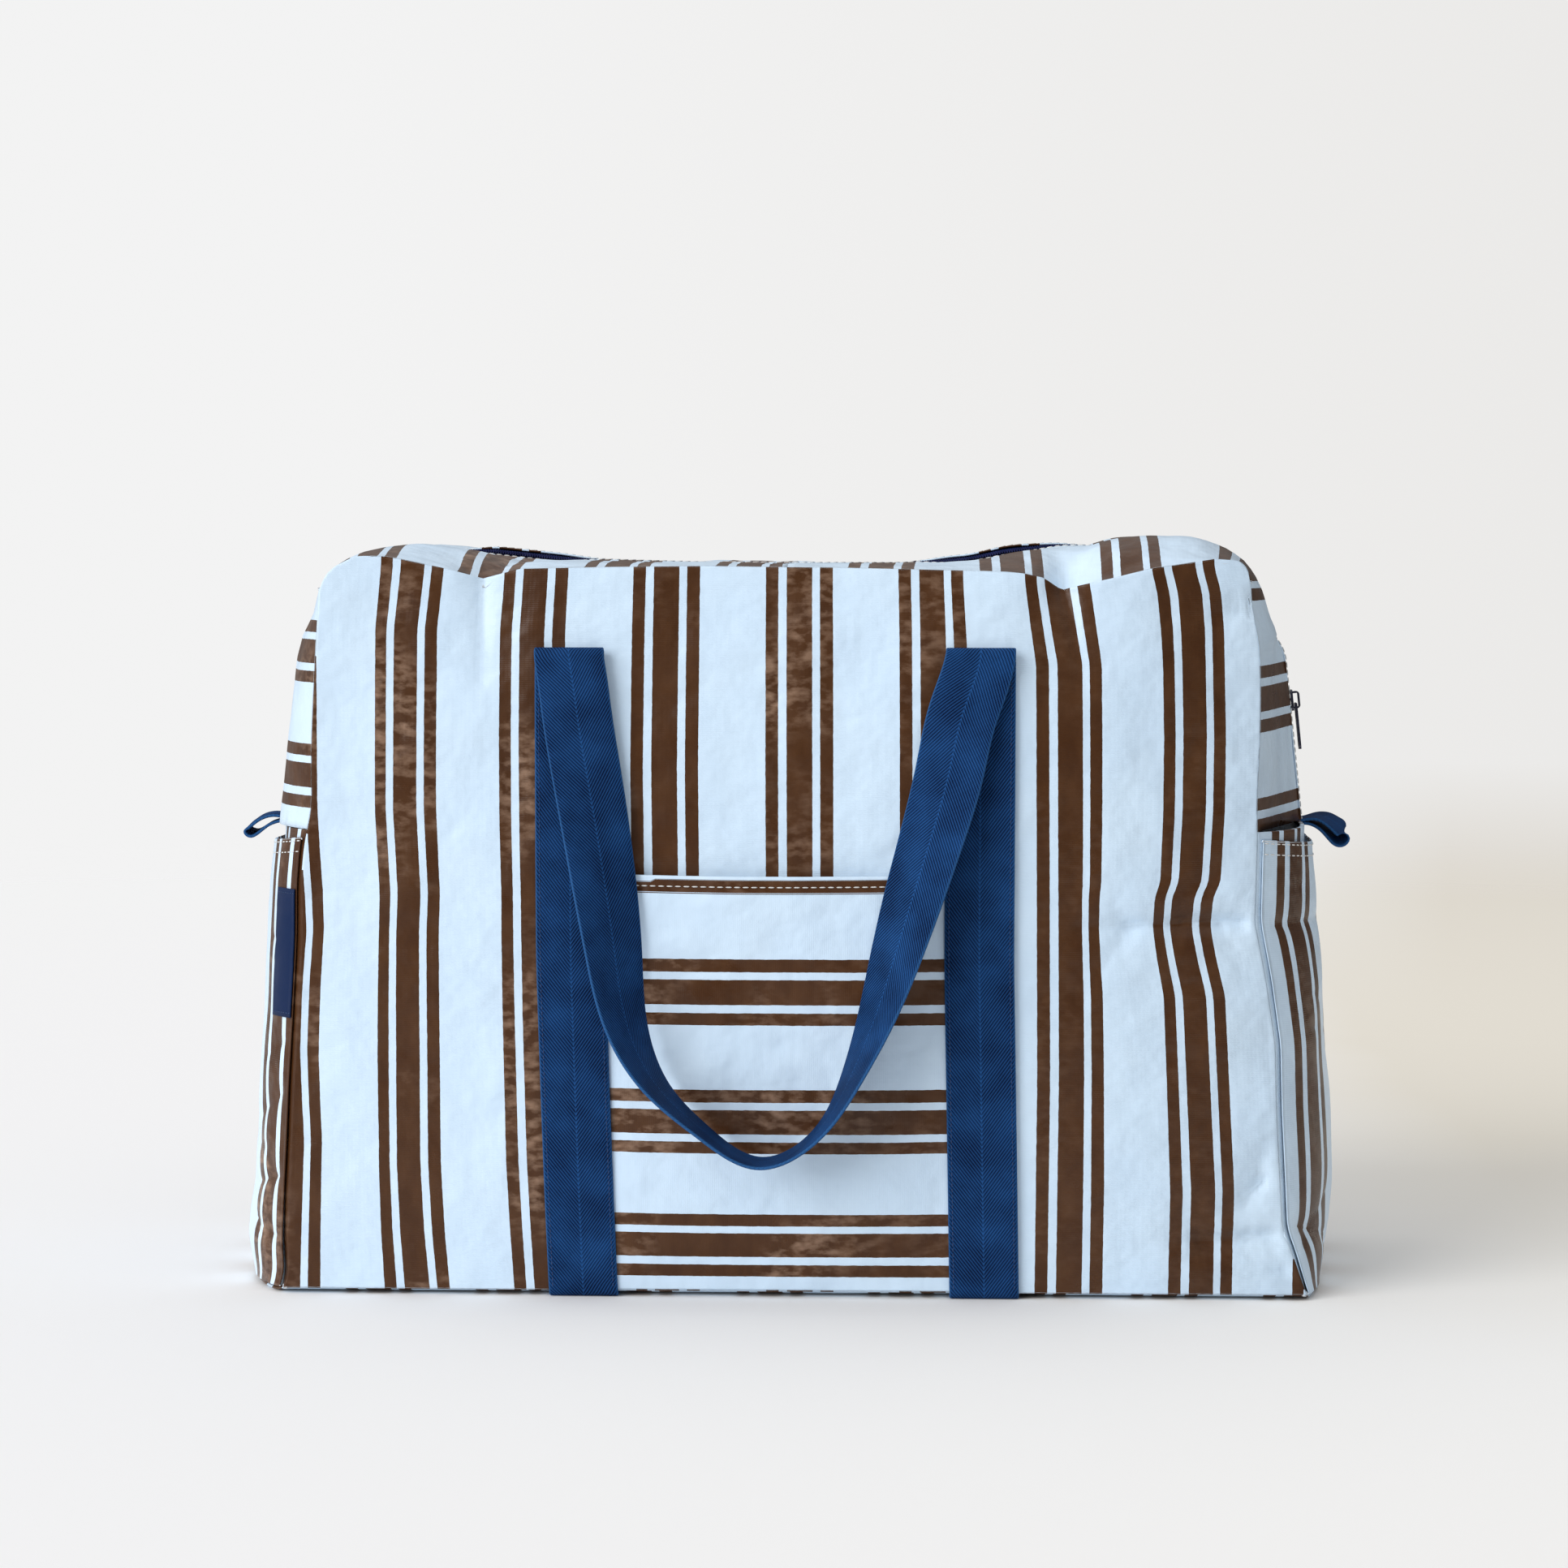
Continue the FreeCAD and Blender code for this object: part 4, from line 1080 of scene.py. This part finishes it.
loop = {
    "width": 25.0, "thick": 1.7, "steps": 90,
    "twist": {"left": 6, "right": 26}, "twistFrom": 293, "twistOver": 22,
    "line": [(287.5, 255.6), (292, 256.0), (298, 257.0), (302, 256.7), (307, 254.9), (312, 251.4),
             (314.6, 248.2), (312.8, 246.2), (307, 247.8), (301, 251.8), (296.5, 253.3), (292, 254.0),
             (287.5, 253.8)],
}
for side, sign in (("left", -1), ("right", 1)):
    line = smoothThrough([(x * sign, 0, z) for x, z in loop["line"]], loop["steps"])
    turned = ease((np.abs(line[:, 0]) - loop["twistFrom"]) / loop["twistOver"])
    twist = np.radians(loop["twist"][side]) * turned
    across = np.stack([0 * twist, np.cos(twist), np.sin(twist)], -1)
    piece = ribbonPiece(side + "GrabLoop", line, across, loop["width"], loop["thick"], (webbing25,))
    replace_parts(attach(piece, side + "_loop"), side + "_grab_loop")

for node in ("zip_slider", "zip_pull"):
    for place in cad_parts[node].material_slots:
        place.material = enamel
print("webbing, loops and zip metal made")


studio = {
    # the floor carries painted shade: darker and warmer towards the right, and darker and warmer still far
    # back on the right of the bag
    "floorLeft": (0.93, 0.93, 0.94, 1), "floorRight": (0.91, 0.905, 0.895, 1),
    "floorFar": (0.80, 0.76, 0.68, 1), "floorHalf": 4, "fadeFrom": 1.2, "fadeTo": 3.4,
    # what the camera sees behind the bag, with painted shade: darker and warmer towards the right, warmest
    # low on the right
    "seenLeft": (0.895, 0.895, 0.895, 1), "seenRight": (0.82, 0.81, 0.795, 1),
    "seenWarm": (0.705, 0.665, 0.60, 1),
    "low": 0.11, "up": 0.66, "left": 0.34,
    "key": 1.92, "keyFrom": (-0.98, -0.92, 0.57), "keyAngle": 44, "keyColour": (1.0, 0.99, 0.98),
    "camera": (0.093, -2.32, 0.41), "target": (0.0, -0.12, 0.282), "lens": 93.0, "sensor": 36,
}


def makeFloor():
    mat, shader = newMaterial("pale studio floor", {"Roughness": 1.0, "Specular IOR Level": 0.0})
    where = add(mat, "TexCoord").outputs["Object"]
    place = add(mat, "SeparateXYZ", {0: where})
    # painted shade: the floor darkens and warms towards the right, and most far back on the right
    side = calc(mat, "ADD", place.outputs[0], calc(mat, "MULTIPLY", noise(mat, 3, 3.0, where), 0.1))
    tone = mixColour(mat, spread(mat, side, 0, 1, -0.35, 0.45), studio["floorLeft"], studio["floorRight"])
    farRight = spread(mat, side, 0, 1, 0.28, 0.5), spread(mat, place.outputs[1], 0, 1, -0.3, 0.5)
    tone = mixColour(mat, calc(mat, "MULTIPLY", *farRight), tone, studio["floorFar"])
    finishWith(mat, shader, tone)
    away = add(mat, "VectorMath", {0: where}, operation="LENGTH").outputs["Value"]
    fade = spread(mat, away, 0, 1, studio["fadeFrom"], studio["fadeTo"])
    clear = add(mat, "BsdfTransparent")
    blend = add(mat, "MixShader", {0: fade, 1: shader.outputs[0], 2: clear.outputs[0]})
    mat.node_tree.links.new(blend.outputs[0], mat.node_tree.nodes["Material Output"].inputs[0])
    mesh = bpy.data.meshes.new("studioFloor")
    half = studio["floorHalf"]
    corners = [(-half, -half, 0), (half, -half, 0), (half, half, 0), (-half, half, 0)]
    mesh.from_pydata(corners, [], [(0, 1, 2, 3)])
    mesh.materials.append(mat)
    floor = bpy.data.objects.new("studioFloor", mesh)
    bpy.context.scene.collection.objects.link(floor)


def makeSky():  # lights from above and from the left, and shows the camera a backdrop with painted shade, darker and warmer towards the right and warmest low on the right
    world = bpy.data.worlds.new("studio")
    bpy.context.scene.world = world
    world.use_nodes = True
    shine = world.node_tree.nodes["Background"]
    shine.inputs[0].default_value = (1, 1, 1, 1)
    way = add(world, "SeparateXYZ", {0: add(world, "TexCoord").outputs["Generated"]})
    up = spread(world, way.outputs[2], 0, studio["up"], 0, 0.8, interpolation_type="SMOOTHSTEP")
    left = spread(world, way.outputs[0], 0, studio["left"], 0, -0.9, interpolation_type="SMOOTHSTEP")
    strength = calc(world, "ADD", calc(world, "ADD", up, left), studio["low"])
    world.node_tree.links.new(strength, shine.inputs[1])
    # painted shade on the backdrop: darker and warmer towards the right, warmest just below the horizon on
    # the right
    side = spread(world, way.outputs[0], 0, 1, -0.15, 0.2)
    tone = mixColour(world, side, studio["seenLeft"], studio["seenRight"])
    low = spread(world, way.outputs[2], 0, 1, -0.052, -0.085)
    right = spread(world, way.outputs[0], 0, 1, 0.075, 0.12)
    tone = mixColour(world, calc(world, "MULTIPLY", low, right), tone, studio["seenWarm"])
    seen = add(world, "Background", {0: tone})
    ray = add(world, "LightPath").outputs["Is Camera Ray"]
    mix = add(world, "MixShader", {0: ray, 1: shine.outputs[0], 2: seen.outputs[0]})
    world.node_tree.links.new(mix.outputs[0], world.node_tree.nodes["World Output"].inputs[0])


def facing(way):  # the turn of a lamp or a camera that looks that way
    return Vector(way).to_track_quat("-Z", "Y").to_euler()


def makeKeyLight():  # from far away, so that the floor is lit evenly
    light = bpy.data.lights.new("keyLight", "SUN")
    light.energy, light.color = studio["key"], studio["keyColour"]
    light.angle = math.radians(studio["keyAngle"])
    lamp = bpy.data.objects.new("keyLight", light)
    lamp.rotation_euler = facing(-Vector(studio["keyFrom"]))
    bpy.context.scene.collection.objects.link(lamp)


def makeCamera():
    optics = bpy.data.cameras.new("camera")
    optics.lens, optics.sensor_width = studio["lens"], studio["sensor"]
    camera = bpy.data.objects.new("camera", optics)
    camera.location = studio["camera"]
    camera.rotation_euler = facing(Vector(studio["target"]) - Vector(studio["camera"]))
    bpy.context.scene.collection.objects.link(camera)
    bpy.context.scene.camera = camera


makeFloor()
makeSky()
makeKeyLight()
makeCamera()
bpy.context.scene.view_settings.view_transform = "Standard"
print("studio made")
